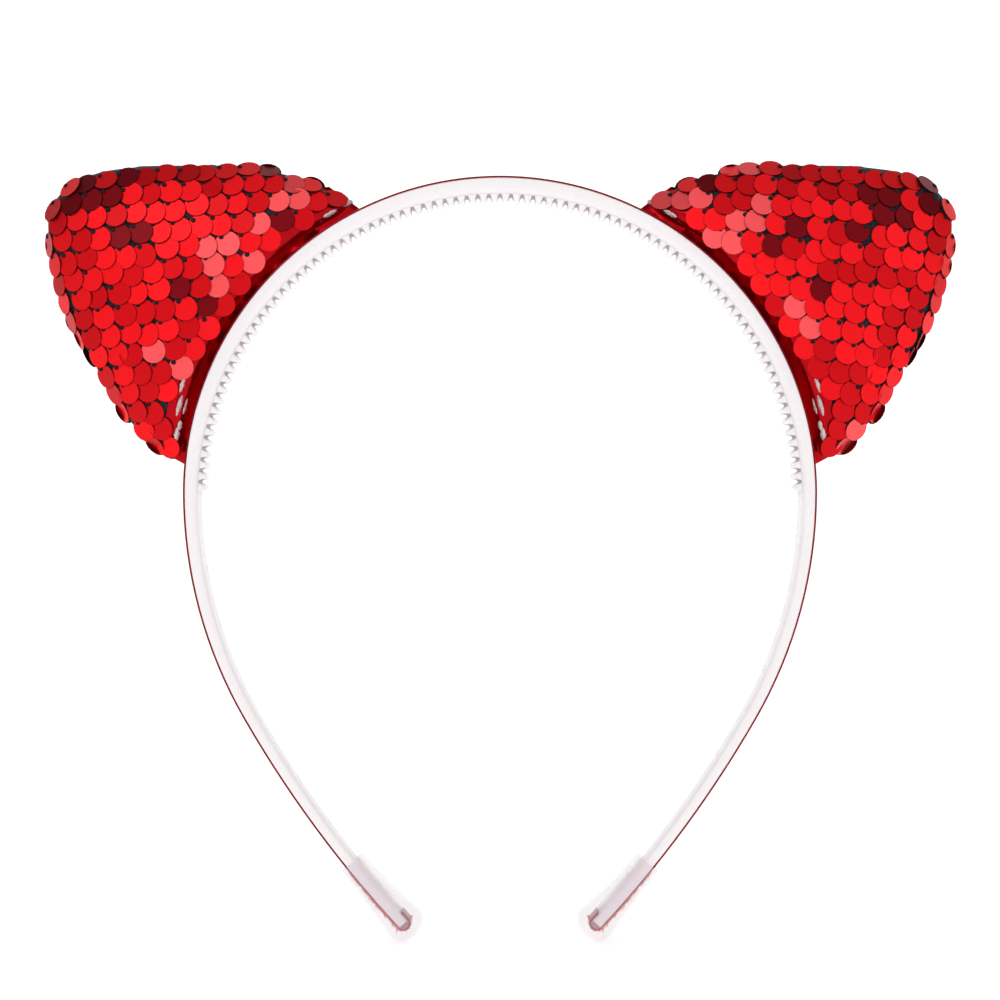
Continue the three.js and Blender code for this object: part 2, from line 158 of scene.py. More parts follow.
class Finishes(bpy.types.PropertyGroup):
    """Colours of every material."""

    plastic: colour("Plastic", "Injection moulded hoop", "#F7F1F3")
    # Painted shade: the grey mixed into the plastic between the comb's teeth.
    painted_crevice_shade: colour("Crevice", "Plastic between the comb's teeth", "#A9A2A9")
    foil: colour("Foil", "Ribbon of metallised film", "#9A0A18")
    frayed: colour("Frayed edge", "Cut threads of the ribbon", "#F2431A")
    vinyl: colour("Vinyl", "Soft clear tip caps", "#E8DBE3")
    net: colour("Net", "Black net that the sequins are sewn on", "#1C1A22")
    thread: colour("Thread", "Sewing thread", "#191118")
    bright: colour("Bright sequin", "Most of the sequins", "#FF1820")
    # Painted shade and painted highlight: the middle and dark sequin colours stand in for discs
    # turned away from the light, the pale one for discs that catch it; the film itself is the bright
    # red.
    middle: colour("Middle sequin", "Sequins turned a little away", "#D20A14")
    dark: colour("Dark sequin", "Sequins turned well away", "#7A0410")
    pale: colour("Pale sequin", "Sequins that catch the light", "#FF5A5E")
    tape: colour("Tape", "Glossy tape at the base of each ear", "#C80818")
    # Near white: partly the glue's own cloudiness, partly a painted highlight for the reflections on
    # its wet runs.
    glue: colour("Glue", "Clear hot-melt glue", "#FFF3F0")
    floor: colour("Floor", "Pale studio floor", "#FBFBFB")


class HairHoop(bpy.types.PropertyGroup):
    """Everything about the hair hoop."""

    hoop: bpy.props.PointerProperty(
        type=HoopSizes, name="Hoop", description="Sizes of the hoop")
    ear: bpy.props.PointerProperty(type=EarSizes, name="Ears", description="Sizes of the ears")
    finish: bpy.props.PointerProperty(type=Finishes, name="Finishes", description="Colours")


def settings():
    return bpy.context.scene.hair_hoop


# ---------------------------------------------------------------- the hoop's line


def crown_centre():
    return CROWN_TOP - settings().hoop.crown_radius


def arcs():
    """Centre x, centre z, radius and last turn of the hoop's three arcs."""
    s = settings().hoop
    temple_x = s.crown_radius - s.temple_radius
    temple_end = math.pi / 2 + s.temple_turn
    tail_x = temple_x + (s.temple_radius - s.tail_radius) * math.sin(temple_end)
    tail_z = crown_centre() + (s.temple_radius - s.tail_radius) * math.cos(temple_end)
    return [
        (0, crown_centre(), s.crown_radius, math.pi / 2),
        (temple_x, crown_centre(), s.temple_radius, temple_end),
        (tail_x, tail_z, s.tail_radius, temple_end + s.tail_turn),
    ]


def last_turn():
    return arcs()[-1][3]


def hoop_point(turn, inward=0, y=0):
    """A point of the right half, inward from the ribbon's face."""
    x, z, radius, _ = next((a for a in arcs() if turn <= a[3] + 1e-9), arcs()[-1])
    reach = radius - inward
    return Vector((x + reach * math.sin(turn), y, z + reach * math.cos(turn)))


def turn_of(x, z):
    """The turn of a point near the right half, and how far inward it lies."""
    for centre_x, centre_z, radius, end in arcs():
        turn = math.atan2(x - centre_x, z - centre_z)
        if turn <= end + 1e-6:
            break
    return turn, radius - math.hypot(x - centre_x, z - centre_z)


def share_of_tail(turn):
    return min(1, max(0, (turn - math.pi / 2) / (last_turn() - math.pi / 2)))


def band_thickness(turn):
    s = settings().hoop
    if turn <= math.pi / 2:
        share = (turn / (math.pi / 2)) ** 2
        return s.band_thickness + (s.temple_thickness - s.band_thickness) * share
    return s.temple_thickness + (s.tip_thickness - s.temple_thickness) * share_of_tail(turn)


def depth_share(turn):
    s = settings().hoop
    return 1 + (s.tip_depth / s.band_depth - 1) * share_of_tail(turn)


def band_offset():
    s = settings().hoop
    return s.ribbon_thickness + s.glue_line


# ---------------------------------------------------------------- modelling helpers


def deselect():
    for obj in bpy.context.selected_objects:
        obj.select_set(False)


def activate(obj):
    """Leaves only this object selected and active."""
    deselect()
    bpy.context.view_layer.objects.active = obj
    obj.select_set(True)


def edit(obj, everything=False):
    activate(obj)
    bpy.ops.object.mode_set(mode="EDIT")
    bpy.ops.mesh.select_mode(type="VERT")
    bpy.ops.mesh.select_all(action="SELECT" if everything else "DESELECT")


def end_edit():
    bpy.ops.object.mode_set(mode="OBJECT")


def take_new(name):
    """The primitive just added, renamed, with its place moved into its mesh."""
    obj = bpy.context.active_object
    obj.name = obj.data.name = name
    activate(obj)
    bpy.ops.object.transform_apply(location=True, rotation=True, scale=True)
    return obj


def select_where(obj, kind, test):
    """In edit mode, selects only the elements whose middle passes the test."""
    bpy.ops.mesh.select_mode(type=kind)
    bpy.ops.mesh.select_all(action="DESELECT")
    mesh = bmesh.from_edit_mesh(obj.data)
    elements = {"VERT": mesh.verts, "EDGE": mesh.edges, "FACE": mesh.faces}[kind]
    for element in elements:
        if kind == "VERT":
            middle = element.co
        else:
            middle = sum((v.co for v in element.verts), Vector()) / len(element.verts)
        if test(middle):
            element.select_set(True)
    mesh.select_flush_mode()
    bmesh.update_edit_mesh(obj.data)


def apply_modifiers(obj):
    activate(obj)
    for modifier in list(obj.modifiers):
        bpy.ops.object.modifier_apply(modifier=modifier.name)


def close_seams(obj):
    """Merges doubles and turns the faces of a closed mesh outwards."""
    edit(obj, everything=True)
    bpy.ops.mesh.remove_doubles(threshold=1e-6)
    bpy.ops.mesh.normals_make_consistent(inside=False)
    end_edit()


def smooth(obj, degrees=40):
    activate(obj)
    bpy.ops.object.shade_smooth_by_angle(angle=math.radians(degrees), keep_sharp_edges=False)


def own_copy(obj, name):
    """A copy with its own mesh."""
    copy = bpy.data.objects.new(name, obj.data.copy())
    copy.data.name = name
    bpy.context.scene.collection.objects.link(copy)
    return copy


def mirrored(obj, name):
    """A copy on the other side of the head."""
    copy = own_copy(obj, name)
    copy.data.transform(Matrix.Scale(-1, 4, (1, 0, 0)))
    copy.data.flip_normals()
    return copy


def on_side(obj, side):
    """The piece itself on the right, or mirrored over to the left."""
    if SIDES[side] > 0:
        return obj
    return mirrored(obj, obj.name.replace("_right", "_left"))


def repeated(template, places, name, tints=None, shades=None):
    """One piece made of a copy of the template's mesh at each place.

    Each copy has its tint, and shades darken the template's own vertices.
    """
    points = np.array([v.co for v in template.data.vertices])
    faces = [list(p.vertices) for p in template.data.polygons]
    all_points, all_faces = [], []
    for index, place in enumerate(places):
        matrix = np.array(place)
        all_points.append(points @ matrix[:3, :3].T + matrix[:3, 3])
        start = index * len(points)
        all_faces += [[start + corner for corner in face] for face in faces]
    mesh = bpy.data.meshes.new(name)
    mesh.from_pydata(np.concatenate(all_points).tolist(), [], all_faces)
    if tints:
        colours = np.ones((len(places), len(points), 4))
        colours[:, :, :3] = np.array(tints)[:, None, :] * np.array(shades)[None, :, None]
        layer = mesh.attributes.new("tint", "FLOAT_COLOR", "POINT")
        layer.data.foreach_set("color", colours.ravel())
    obj = bpy.data.objects.new(name, mesh)
    bpy.context.scene.collection.objects.link(obj)
    return obj


def remove(obj):
    bpy.data.objects.remove(obj)


def paint(obj, material):
    obj.data.materials.clear()
    obj.data.materials.append(material)


def on_arm(obj, side):
    """The piece moves with that side's arm."""
    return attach(obj, f"{side}_arm")


def dress(obj, side, material, degrees=40):
    """Shades, paints and hands over a piece that keeps its shape when the hoop bends."""
    smooth(obj, degrees)
    paint(obj, material)
    on_arm(obj, side)


def bend_with(obj):
    """Bakes the piece's place into its mesh."""
    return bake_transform(obj)


# ---------------------------------------------------------------- materials


def add_node(tree, kind, values=None, links=None, **fields):
    """Adds a node, sets its fields and its sockets' values, and links sockets to it."""
    node = tree.nodes.new(kind)
    for field, value in fields.items():
        setattr(node, field, value)
    for socket, value in (values or {}).items():
        node.inputs[socket].default_value = value
    for socket, source in (links or {}).items():
        tree.links.new(source, node.inputs[socket])
    return node


def new_material(name, values):
    """The tree and the Principled shader of a new material, with the shader's sockets set."""
    material = bpy.data.materials.new(name)
    material.use_nodes = True
    shader = material.node_tree.nodes["Principled BSDF"]
    for socket, value in values.items():
        shader.inputs[socket].default_value = value
    return material.node_tree, shader


def made_once(name):
    """Turns a function that fills in a new material of that name into one that gives the
    material, and makes it only the first time."""
    def wrap(fill_in):
        def material():
            if name not in bpy.data.materials:
                fill_in(name)
            return bpy.data.materials[name]
        return material
    return wrap


def object_place(tree):
    return add_node(tree, "ShaderNodeTexCoord").outputs["Object"]


def bump(tree, shader, height, distance, strength=1):
    node = add_node(tree, "ShaderNodeBump", {"Distance": distance, "Strength": strength},
                    {"Height": height})
    tree.links.new(node.outputs["Normal"], shader.inputs["Normal"])


def mix_colours(tree, factor, low, high):
    node = add_node(tree, "ShaderNodeMix", data_type="RGBA")
    node.inputs[6].default_value = (*low, 1)
    node.inputs[7].default_value = (*high, 1)
    tree.links.new(factor, node.inputs[0])
    return node.outputs[2]


def darker(value, share):
    return tuple(c * share for c in value)


@made_once("Moulded_white_polypropylene")
def moulded_plastic(name):
    """Polypropylene from a polished mould: near white and glossy, light goes a little way
    in, and the surface ripples slightly where the melt flowed. In the narrow gaps between
    the teeth, ambient occlusion mixes in the grey crevice colour as painted shade; below the
    comb no shade is painted."""
    tree, shader = new_material(name, {
        "Base Color": (*settings().finish.plastic, 1), "Roughness": 0.28, "IOR": 1.49,
        "Subsurface Weight": 0.1, "Subsurface Scale": 0.0012})
    # Painted shade: where ambient occlusion finds surfaces within 2 mm, the plastic is darkened
    # toward the crevice shade, except below the comb.
    gap = add_node(tree, "ShaderNodeAmbientOcclusion", {"Distance": 2 * MM})
    openness = add_node(tree, "ShaderNodeMapRange", {"From Min": 0.3, "From Max": 0.95},
                        {"Value": gap.outputs["AO"]})
    height = add_node(tree, "ShaderNodeSeparateXYZ", links={"Vector": object_place(tree)})
    below_comb = add_node(tree, "ShaderNodeMath", {1: crown_centre() - 2 * MM},
                          {0: height.outputs["Z"]}, operation="LESS_THAN")
    clear = add_node(tree, "ShaderNodeMath", links={
        0: openness.outputs["Result"], 1: below_comb.outputs[0]}, operation="MAXIMUM")
    tone = mix_colours(tree, clear.outputs[0], settings().finish.painted_crevice_shade,
                       settings().finish.plastic)
    tree.links.new(tone, shader.inputs["Base Color"])
    flow = add_node(tree, "ShaderNodeTexNoise", {"Scale": 220, "Detail": 3},
                    {"Vector": object_place(tree)})
    bump(tree, shader, flow.outputs["Fac"], 0.06 * MM)
    gloss = add_node(tree, "ShaderNodeMapRange", {"To Min": 0.22, "To Max": 0.36},
                     {"Value": flow.outputs["Fac"]})
    tree.links.new(gloss.outputs["Result"], shader.inputs["Roughness"])


@made_once("Metallised_foil_ribbon")
def foil_ribbon(name):
    """Metallised film on a woven backing: mirror red, with fine ribs every 0.5 mm."""
    red = settings().finish.foil
    tree, shader = new_material(name, {
        "Base Color": (*red, 1), "Metallic": 0.9, "Roughness": 0.3})
    place = object_place(tree)
    ribs = add_node(tree, "ShaderNodeTexVoronoi", {"Scale": 1 / (0.5 * MM)}, {"Vector": place})
    bump(tree, shader, ribs.outputs["Distance"], 0.03 * MM)
    blotch = add_node(tree, "ShaderNodeTexNoise", {"Scale": 180, "Detail": 2},
                      {"Vector": place})
    tone = mix_colours(tree, blotch.outputs["Fac"], red, darker(red, 0.65))
    tree.links.new(tone, shader.inputs["Base Color"])


@made_once("Polyester_ribbon_threads")
def frayed_thread(name):
    """Cut polyester threads: orange red and matt, lighter where they fluff."""
    red = settings().finish.frayed
    tree, shader = new_material(name, {
        "Base Color": (*red, 1), "Roughness": 0.7, "Sheen Weight": 0.3})
    fluff = add_node(tree, "ShaderNodeTexNoise", {"Scale": 900}, {"Vector": object_place(tree)})
    tone = mix_colours(tree, fluff.outputs["Fac"], darker(red, 0.5), red)
    tree.links.new(tone, shader.inputs["Base Color"])


@made_once("Dipped_soft_clear_vinyl")
def soft_vinyl(name):
    """Plasticised vinyl, dip moulded: a thin milky haze that lets most light straight
    through, with a waxy gloss."""
    tree, shader = new_material(name, {
        "Base Color": (*settings().finish.vinyl, 1), "Alpha": 0.22, "Roughness": 0.16,
        "IOR": 1.4})
    haze = add_node(tree, "ShaderNodeTexNoise", {"Scale": 320, "Detail": 4},
                    {"Vector": object_place(tree)})
    bump(tree, shader, haze.outputs["Fac"], 0.08 * MM)
    gloss = add_node(tree, "ShaderNodeMapRange", {"To Min": 0.08, "To Max": 0.3},
                     {"Value": haze.outputs["Fac"]})
    tree.links.new(gloss.outputs["Result"], shader.inputs["Roughness"])


@made_once("Knitted_black_nylon_net")
def black_net(name):
    """Warp knitted nylon: a matt charcoal mesh of threads 0.9 mm apart with dark holes."""
    net = settings().finish.net
    tree, shader = new_material(name, {
        "Base Color": (*net, 1), "Roughness": 0.8, "Sheen Weight": 0.1,
        "Specular IOR Level": 0.3})
    cells = add_node(tree, "ShaderNodeTexVoronoi", {"Scale": 1 / (0.9 * MM), "Randomness": 0.35},
                     {"Vector": object_place(tree)}, feature="DISTANCE_TO_EDGE")
    thread = add_node(tree, "ShaderNodeMapRange", {"From Max": 0.22, "To Min": 1, "To Max": 0},
                      {"Value": cells.outputs["Distance"]})
    bump(tree, shader, thread.outputs["Result"], 0.12 * MM)
    tone = mix_colours(tree, thread.outputs["Result"], darker(net, 0.35), darker(net, 2.6))
    tree.links.new(tone, shader.inputs["Base Color"])


@made_once("Polyester_wadding")
def wadding(name):
    """Carded polyester fibre: matt off-white fluff."""
    tree, shader = new_material(name, {
        "Base Color": (0.8, 0.79, 0.77, 1), "Roughness": 0.95, "Sheen Weight": 0.4})
    fibre = add_node(tree, "ShaderNodeTexNoise", {"Scale": 700, "Detail": 6, "Distortion": 1.5},
                     {"Vector": object_place(tree)})
    bump(tree, shader, fibre.outputs["Fac"], 0.4 * MM)
    tone = mix_colours(tree, fibre.outputs["Fac"], (0.62, 0.61, 0.6), (0.9, 0.89, 0.87))
    tree.links.new(tone, shader.inputs["Base Color"])


@made_once("Metallised_PET_sequin")
def metallised_sequin(name):
    """Punched PET film with a metallised, red lacquered face: smooth and mirror-like. Each
    disc's colour is its tint attribute, a painted reflection: darker tints are painted shade
    for discs turned away from the light, pale ones a painted highlight, and the punched rim
    carries a painted shadow line."""
    tree, shader = new_material(name, {
        "Base Color": (*settings().finish.bright, 1), "Metallic": 1, "Roughness": 0.46,
        "Coat Weight": 0.12, "Coat Roughness": 0.2})
    # The tint attribute holds painted reflection: painted shade, painted highlights and a painted
    # shadow line round each rim.
    tint = add_node(tree, "ShaderNodeAttribute", attribute_name="tint")
    tree.links.new(tint.outputs["Color"], shader.inputs["Base Color"])
    wave = add_node(tree, "ShaderNodeTexNoise", {"Scale": 240, "Detail": 2},
                    {"Vector": object_place(tree)})
    bump(tree, shader, wave.outputs["Fac"], 0.05 * MM)


@made_once("Black_sewing_thread")
def sewing_thread(name):
    """Spun polyester thread: nearly black, matt, with a slight fluff."""
    tree, shader = new_material(name, {
        "Base Color": (*settings().finish.thread, 1), "Roughness": 0.8,
        "Specular IOR Level": 0.2})
    tint = add_node(tree, "ShaderNodeAttribute", attribute_name="tint")
    tree.links.new(tint.outputs["Color"], shader.inputs["Base Color"])
    twist = add_node(tree, "ShaderNodeTexNoise", {"Scale": 2500}, {"Vector": object_place(tree)})
    bump(tree, shader, twist.outputs["Fac"], 0.05 * MM)


@made_once("Glossy_red_vinyl_tape")
def gloss_tape(name):
    """Calendered vinyl tape, pulled round a curve: wet gloss, deep red, long creases."""
    red = settings().finish.tape
    tree, shader = new_material(name, {
        "Base Color": (*red, 1), "Metallic": 0.8, "Roughness": 0.22,
        "Specular Tint": (0.9, 0.06, 0.08, 1), "Coat Weight": 0.06, "Coat Roughness": 0.06})
    place = object_place(tree)
    crease = add_node(tree, "ShaderNodeTexNoise", {"Scale": 130, "Detail": 2, "Distortion": 0.6},
                      {"Vector": place})
    bump(tree, shader, crease.outputs["Fac"], 0.5 * MM)
    blotch = add_node(tree, "ShaderNodeTexNoise", {"Scale": 90}, {"Vector": place})
    tone = mix_colours(tree, blotch.outputs["Fac"], red, darker(red, 0.5))
    tree.links.new(tone, shader.inputs["Base Color"])


@made_once("Clear_hot_melt_glue")
def hot_glue(name):
    """EVA hot-melt glue, set as it ran: clear and wet looking. Its near-white base colour is partly
    the glue's slight cloudiness and partly a painted highlight, standing in for the white
    reflections on the wet runs.
    """
    tree, shader = new_material(name, {
        "Base Color": (*settings().finish.glue, 1), "Transmission Weight": 0.5,
        "Roughness": 0.08, "IOR": 1.48, "Coat Weight": 1, "Coat Roughness": 0.04,
        "Coat IOR": 1.7})
    lump = add_node(tree, "ShaderNodeTexNoise", {"Scale": 420, "Detail": 3},
                    {"Vector": object_place(tree)})
    bump(tree, shader, lump.outputs["Fac"], 0.25 * MM)


@made_once("Matt_pale_backdrop")
def studio_floor(name):
    """Painted board: pale and matt, with a fine tooth."""
    tree, shader = new_material(name, {
        "Base Color": (*settings().finish.floor, 1), "Roughness": 0.9,
        "Specular IOR Level": 0.1, "Emission Color": (1, 1, 1, 1), "Emission Strength": 0.4})
    tooth = add_node(tree, "ShaderNodeTexNoise", {"Scale": 400}, {"Vector": object_place(tree)})
    bump(tree, shader, tooth.outputs["Fac"], 0.02 * MM)


# ---------------------------------------------------------------- hoop, comb and ribbon

# How many steps the sweep takes along each of the hoop's arcs.
ARC_STEPS = (48, 16, 14)
# How far edges are rounded, as shares of the plastic's, the ribbon's or a tooth's thickness.
BAND_OUTER_ROUND = 0.1
BAND_INNER_ROUND = 0.4
BAND_TIP_ROUND = 0.25
RIBBON_ROUND = 0.3
TOOTH_ROUND = 0.3
# Within this distance a face is the one looked for.
NEARBY = 0.1 * MM


def crown_section(name, thickness, depth, inward, outer_round, inner_round, segments):
    """A rounded rectangle across the top of the hoop, its outer side inward of the line."""
    top = hoop_point(0, inward + thickness / 2)
    deselect()
    bpy.ops.mesh.primitive_plane_add(size=1, location=top, rotation=(0, math.pi / 2, 0))
    bpy.context.active_object.scale = (thickness, depth, 1)
    obj = take_new(name)
    edit(obj)
    select_where(obj, "VERT", lambda point: point.z > top.z)
    bpy.ops.mesh.bevel(offset=outer_round, segments=segments, affect="VERTICES")
    select_where(obj, "VERT", lambda point: point.z < top.z)
    bpy.ops.mesh.bevel(offset=inner_round, segments=segments, affect="VERTICES")
    end_edit()
    return obj


def spin_to_tip(obj):
    """Sweeps the section down the right half of the hoop."""
    edit(obj, everything=True)
    start = 0
    for (x, z, _, end), steps in zip(arcs(), ARC_STEPS):
        bpy.ops.mesh.spin(steps=steps, angle=end - start, center=(x, 0, z), axis=(0, -1, 0))
        start = end
    end_edit()


def shape_along(obj, place):
    """Moves each vertex to place(turn, inward, y)."""
    for vertex in obj.data.vertices:
        turn, inward = turn_of(vertex.co.x, vertex.co.z)
        vertex.co = place(turn, inward, vertex.co.y)


def build_band():
    """The right half of the moulded band."""
    s = settings().hoop
    obj = crown_section("hoop_half_right", s.band_thickness, s.band_depth, band_offset(),
                        BAND_OUTER_ROUND * s.band_thickness,
                        BAND_INNER_ROUND * s.band_thickness, 4)
    spin_to_tip(obj)

    def taper(turn, inward, y):
        share = (inward - band_offset()) / s.band_thickness
        return hoop_point(turn, band_offset() + share * band_thickness(turn),
                          y * depth_share(turn))

    shape_along(obj, taper)
    tip = hoop_point(last_turn(), band_offset() + s.tip_thickness / 2)
    edit(obj)
    select_where(obj, "FACE", lambda middle: (middle - tip).length < NEARBY)
    bpy.ops.mesh.bevel(offset=BAND_TIP_ROUND * s.tip_thickness, segments=2, affect="EDGES")
    end_edit()
    close_seams(obj)
    return obj


# A comb tooth's reach from the band, its thickness and its depth, as shares of its own
# height, root thickness and depth. It starts inside the band.
TOOTH_STATIONS = ((0, 1.28, 1), (0.12, 1.04, 0.99), (0.5, 0.8, 0.97), (0.8, 0.64, 0.94),
                  (0.94, 0.48, 0.9), (1, 0.24, 0.86))
TOOTH_SUNK = 0.4 * MM


def build_tooth():
    """One comb tooth, pointing down from the origin: a rounded wedge."""
    s = settings().hoop
    deselect()
    bpy.ops.mesh.primitive_plane_add(size=1, location=(0, 0, TOOTH_SUNK))
    bpy.context.active_object.scale = (
        TOOTH_STATIONS[0][1] * s.tooth_root, s.tooth_depth, 1)
    obj = take_new("tooth")
    edit(obj, everything=True)
    bpy.ops.mesh.bevel(offset=TOOTH_ROUND * s.tooth_root, segments=2, affect="VERTICES")
    height, width, depth = -TOOTH_SUNK / s.tooth_height, *TOOTH_STATIONS[0][1:]
    for reach, thick, deep in TOOTH_STATIONS:
        fall = (reach - height) * s.tooth_height
        bpy.ops.mesh.extrude_region_move(TRANSFORM_OT_translate={"value": (0, 0, -fall)})
        bpy.ops.transform.resize(value=(thick / width, deep / depth, 1),
                                 center_override=(0, 0, -reach * s.tooth_height))
        height, width, depth = reach, thick, deep
    end_edit()
    close_seams(obj)
    return obj


def build_comb():
    """The teeth of the right half, each square to the band's inner face."""
    s = settings().hoop
    tooth = build_tooth()
    pitch = math.pi / s.teeth
    places = []
    for index in range(s.teeth // 2):
        turn = (index + 0.5) * pitch
        root = hoop_point(turn, band_offset() + band_thickness(turn))
        places.append(Matrix.Translation(root) @ Matrix.Rotation(turn, 4, "Y"))
    comb = repeated(tooth, places, "comb_right")
    remove(tooth)
    return comb


FOLD_STEPS = 10
FOLD_LENGTH = 2 * MM


def build_ribbon():
    """The right half of the ribbon, folded round the tip and a little way back."""
    s = settings().hoop
    depth = s.band_depth - 2 * s.ribbon_inset
    obj = crown_section("ribbon_strip_right", s.ribbon_thickness, depth, 0,
                        RIBBON_ROUND * s.ribbon_thickness,
                        RIBBON_ROUND * s.ribbon_thickness, 2)
    spin_to_tip(obj)

    def taper(turn, inward, y):
        wide = s.band_depth * depth_share(turn) - 2 * s.ribbon_inset
        return hoop_point(turn, inward, y * wide / depth)

    shape_along(obj, taper)
    tip = hoop_point(last_turn(), s.ribbon_thickness / 2)
    middle = hoop_point(last_turn(), band_offset() + s.tip_thickness / 2)
    small_turn = 0.001
    back = hoop_point(last_turn() - small_turn) - hoop_point(last_turn())
    edit(obj)
    select_where(obj, "FACE", lambda point: (point - tip).length < NEARBY)
    bpy.ops.mesh.spin(steps=FOLD_STEPS, angle=math.pi, center=middle, axis=(0, -1, 0))
    bpy.ops.mesh.extrude_region_move(
        TRANSFORM_OT_translate={"value": back.normalized() * FOLD_LENGTH})
    end_edit()
    close_seams(obj)
    return obj


THREADS = 300
FOLD_THREADS = 110
THREAD_RADIUS = 0.14 * MM
THREAD_LENGTH = 1 * MM
THREAD_POINT = 0.3
FRAYED_SHARE = 0.78
FRAY_SEED = 11
# Two threads in three are on the front edge.
THREAD_EDGES = (-1, -1, 1)
# Ranges of the threads' lean and spread in radians, along the edges and round the fold.
EDGE_LEAN = (0.4, 1.35)
EDGE_SPREAD = (-0.5, 0.5)
FOLD_LEAN = (0.9, 2.2)


def build_thread():
    """One cut thread that stands on the origin and narrows to a point."""
    deselect()
    bpy.ops.mesh.primitive_cylinder_add(vertices=5, radius=THREAD_RADIUS, depth=THREAD_LENGTH,
                                        location=(0, 0, THREAD_LENGTH / 2))
    thread = take_new("thread")
    edit(thread)
    select_where(thread, "VERT", lambda point: point.z > THREAD_LENGTH / 2)
    bpy.ops.transform.resize(value=(THREAD_POINT, THREAD_POINT, 1),
                             center_override=(0, 0, THREAD_LENGTH))
    end_edit()
    return thread


def build_fray():
    """Threads along the ribbon's cut edges and round its fold, inside the right cap."""
    s = settings().hoop
    dice = random.Random(FRAY_SEED)
    thread = build_thread()
    places = []
    start = last_turn() - FRAYED_SHARE * s.cap_length / s.tail_radius
    for index in range(THREADS):
        share = index / THREADS
        turn = start + (last_turn() - start) * share
        wide = s.band_depth * depth_share(turn) / 2 - s.ribbon_inset
        y = dice.choice(THREAD_EDGES) * wide * dice.uniform(0.9, 1)
        root = hoop_point(turn, dice.uniform(0.05, 0.3) * MM, y)
        lean = Matrix.Rotation(turn + dice.uniform(*EDGE_LEAN), 4, "Y")
        spread = Matrix.Rotation(dice.uniform(*EDGE_SPREAD), 4, "X")
        size = Matrix.Scale(dice.uniform(0.45, 0.65 + 0.55 * share), 4)
        places.append(Matrix.Translation(root) @ lean @ spread @ size)
    middle = hoop_point(last_turn(), band_offset() + s.tip_thickness / 2)
    reach = band_offset() + s.tip_thickness / 2
    wide = s.tip_depth / 2 - s.ribbon_inset
    for index in range(FOLD_THREADS):
        turn = last_turn() + math.pi * index / FOLD_THREADS
        out = Vector((math.sin(turn), 0, math.cos(turn)))
        y = dice.choice(THREAD_EDGES) * wide * dice.uniform(0.8, 1)
        root = middle + out * (reach - dice.uniform(-0.1, 0.7) * MM) + Vector((0, y, 0))
        lean = Matrix.Rotation(turn + dice.uniform(*FOLD_LEAN), 4, "Y")
        size = Matrix.Scale(dice.uniform(0.4, 0.85), 4)
        places.append(Matrix.Translation(root) @ lean @ size)
    fray = repeated(thread, places, "ribbon_fray_right")
    remove(thread)
    return fray


# ---------------------------------------------------------------- tip caps


CAP_SIDES = 28
SLEEVE_STEPS = 12
NOSE_STEPS = 9
# Exponents of the cap's section, squarer below 1, and of its nose, blunter above 2.
CAP_SQUARE = 0.75
CAP_BLUNT = 2.4
# Room round the tip and the walls' thickness in mm, thicker towards the nose.
CAP_ROOM = 0.3
CAP_WALL = 1
CAP_WALL_GROWTH = 1.3
CAP_SIDE_WALL = 0.9
HOLLOW_NOSE = 1.8 * MM


def cap_body(name, reach, nose, extra):
    """A closed sleeve round the right tip. reach is how far it starts before the tip, and
    extra gives what its half thickness and half depth have over the band's."""
    s = settings().hoop
    start = last_turn() - reach / s.tail_radius
    stop = nose / s.tail_radius
    x, z, _, _ = arcs()[-1]
    deselect()
    bpy.ops.mesh.primitive_circle_add(
        vertices=CAP_SIDES, radius=MM, fill_type="NGON",
        rotation=(0, math.pi / 2 + start, 0),
        location=hoop_point(start, band_offset() + band_thickness(start) / 2))
    obj = take_new(name)
    edit(obj, everything=True)
    for steps, turned in ((SLEEVE_STEPS, last_turn() - start), (NOSE_STEPS, stop)):
        bpy.ops.mesh.spin(steps=steps, angle=turned, center=(x, 0, z), axis=(0, -1, 0))
    end_edit()
    middle_start = band_offset() + band_thickness(start) / 2

    def fit(turn, inward, y):
        share = min(1, max(0, (turn - start) / (last_turn() - start)))
        past = min(1, max(0, (turn - last_turn()) / stop))
        here = min(turn, last_turn())
        more_thick, more_deep = extra(share)
        half_thick = band_offset() + band_thickness(here) / 2 + more_thick
        half_deep = s.band_depth * depth_share(here) / 2 + more_deep
        around = math.atan2(y, inward - middle_start)
        across = abs(math.cos(around)) ** CAP_SQUARE * math.copysign(1, math.cos(around))
        deep = abs(math.sin(around)) ** CAP_SQUARE * math.copysign(1, math.sin(around))
        close = math.sqrt(max(0, 1 - past ** CAP_BLUNT))
        middle = band_offset() + band_thickness(here) / 2
        return hoop_point(turn, middle + across * half_thick * close, deep * half_deep * close)

    shape_along(obj, fit)
    close_seams(obj)
    return obj


def build_cap():
    """The right tip cap: thick clear walls round a flat hollow for the tip."""
    s = settings().hoop
    room = CAP_ROOM * MM
    sleeve = s.cap_length - s.cap_nose

    def walls(share):
        return (room + (CAP_WALL + CAP_WALL_GROWTH * share ** 2) * MM,
                room + CAP_SIDE_WALL * MM)

    cap = cap_body("tip_sleeve_right", sleeve, s.cap_nose, walls)
    hollow = cap_body("hollow", sleeve + MM, HOLLOW_NOSE, lambda share: (room, room))
    cut = cap.modifiers.new("Hollow", "BOOLEAN")
    cut.operation = "DIFFERENCE"
    cut.solver = "EXACT"
    cut.object = hollow
    apply_modifiers(cap)
    remove(hollow)
    return cap


# ---------------------------------------------------------------- ears

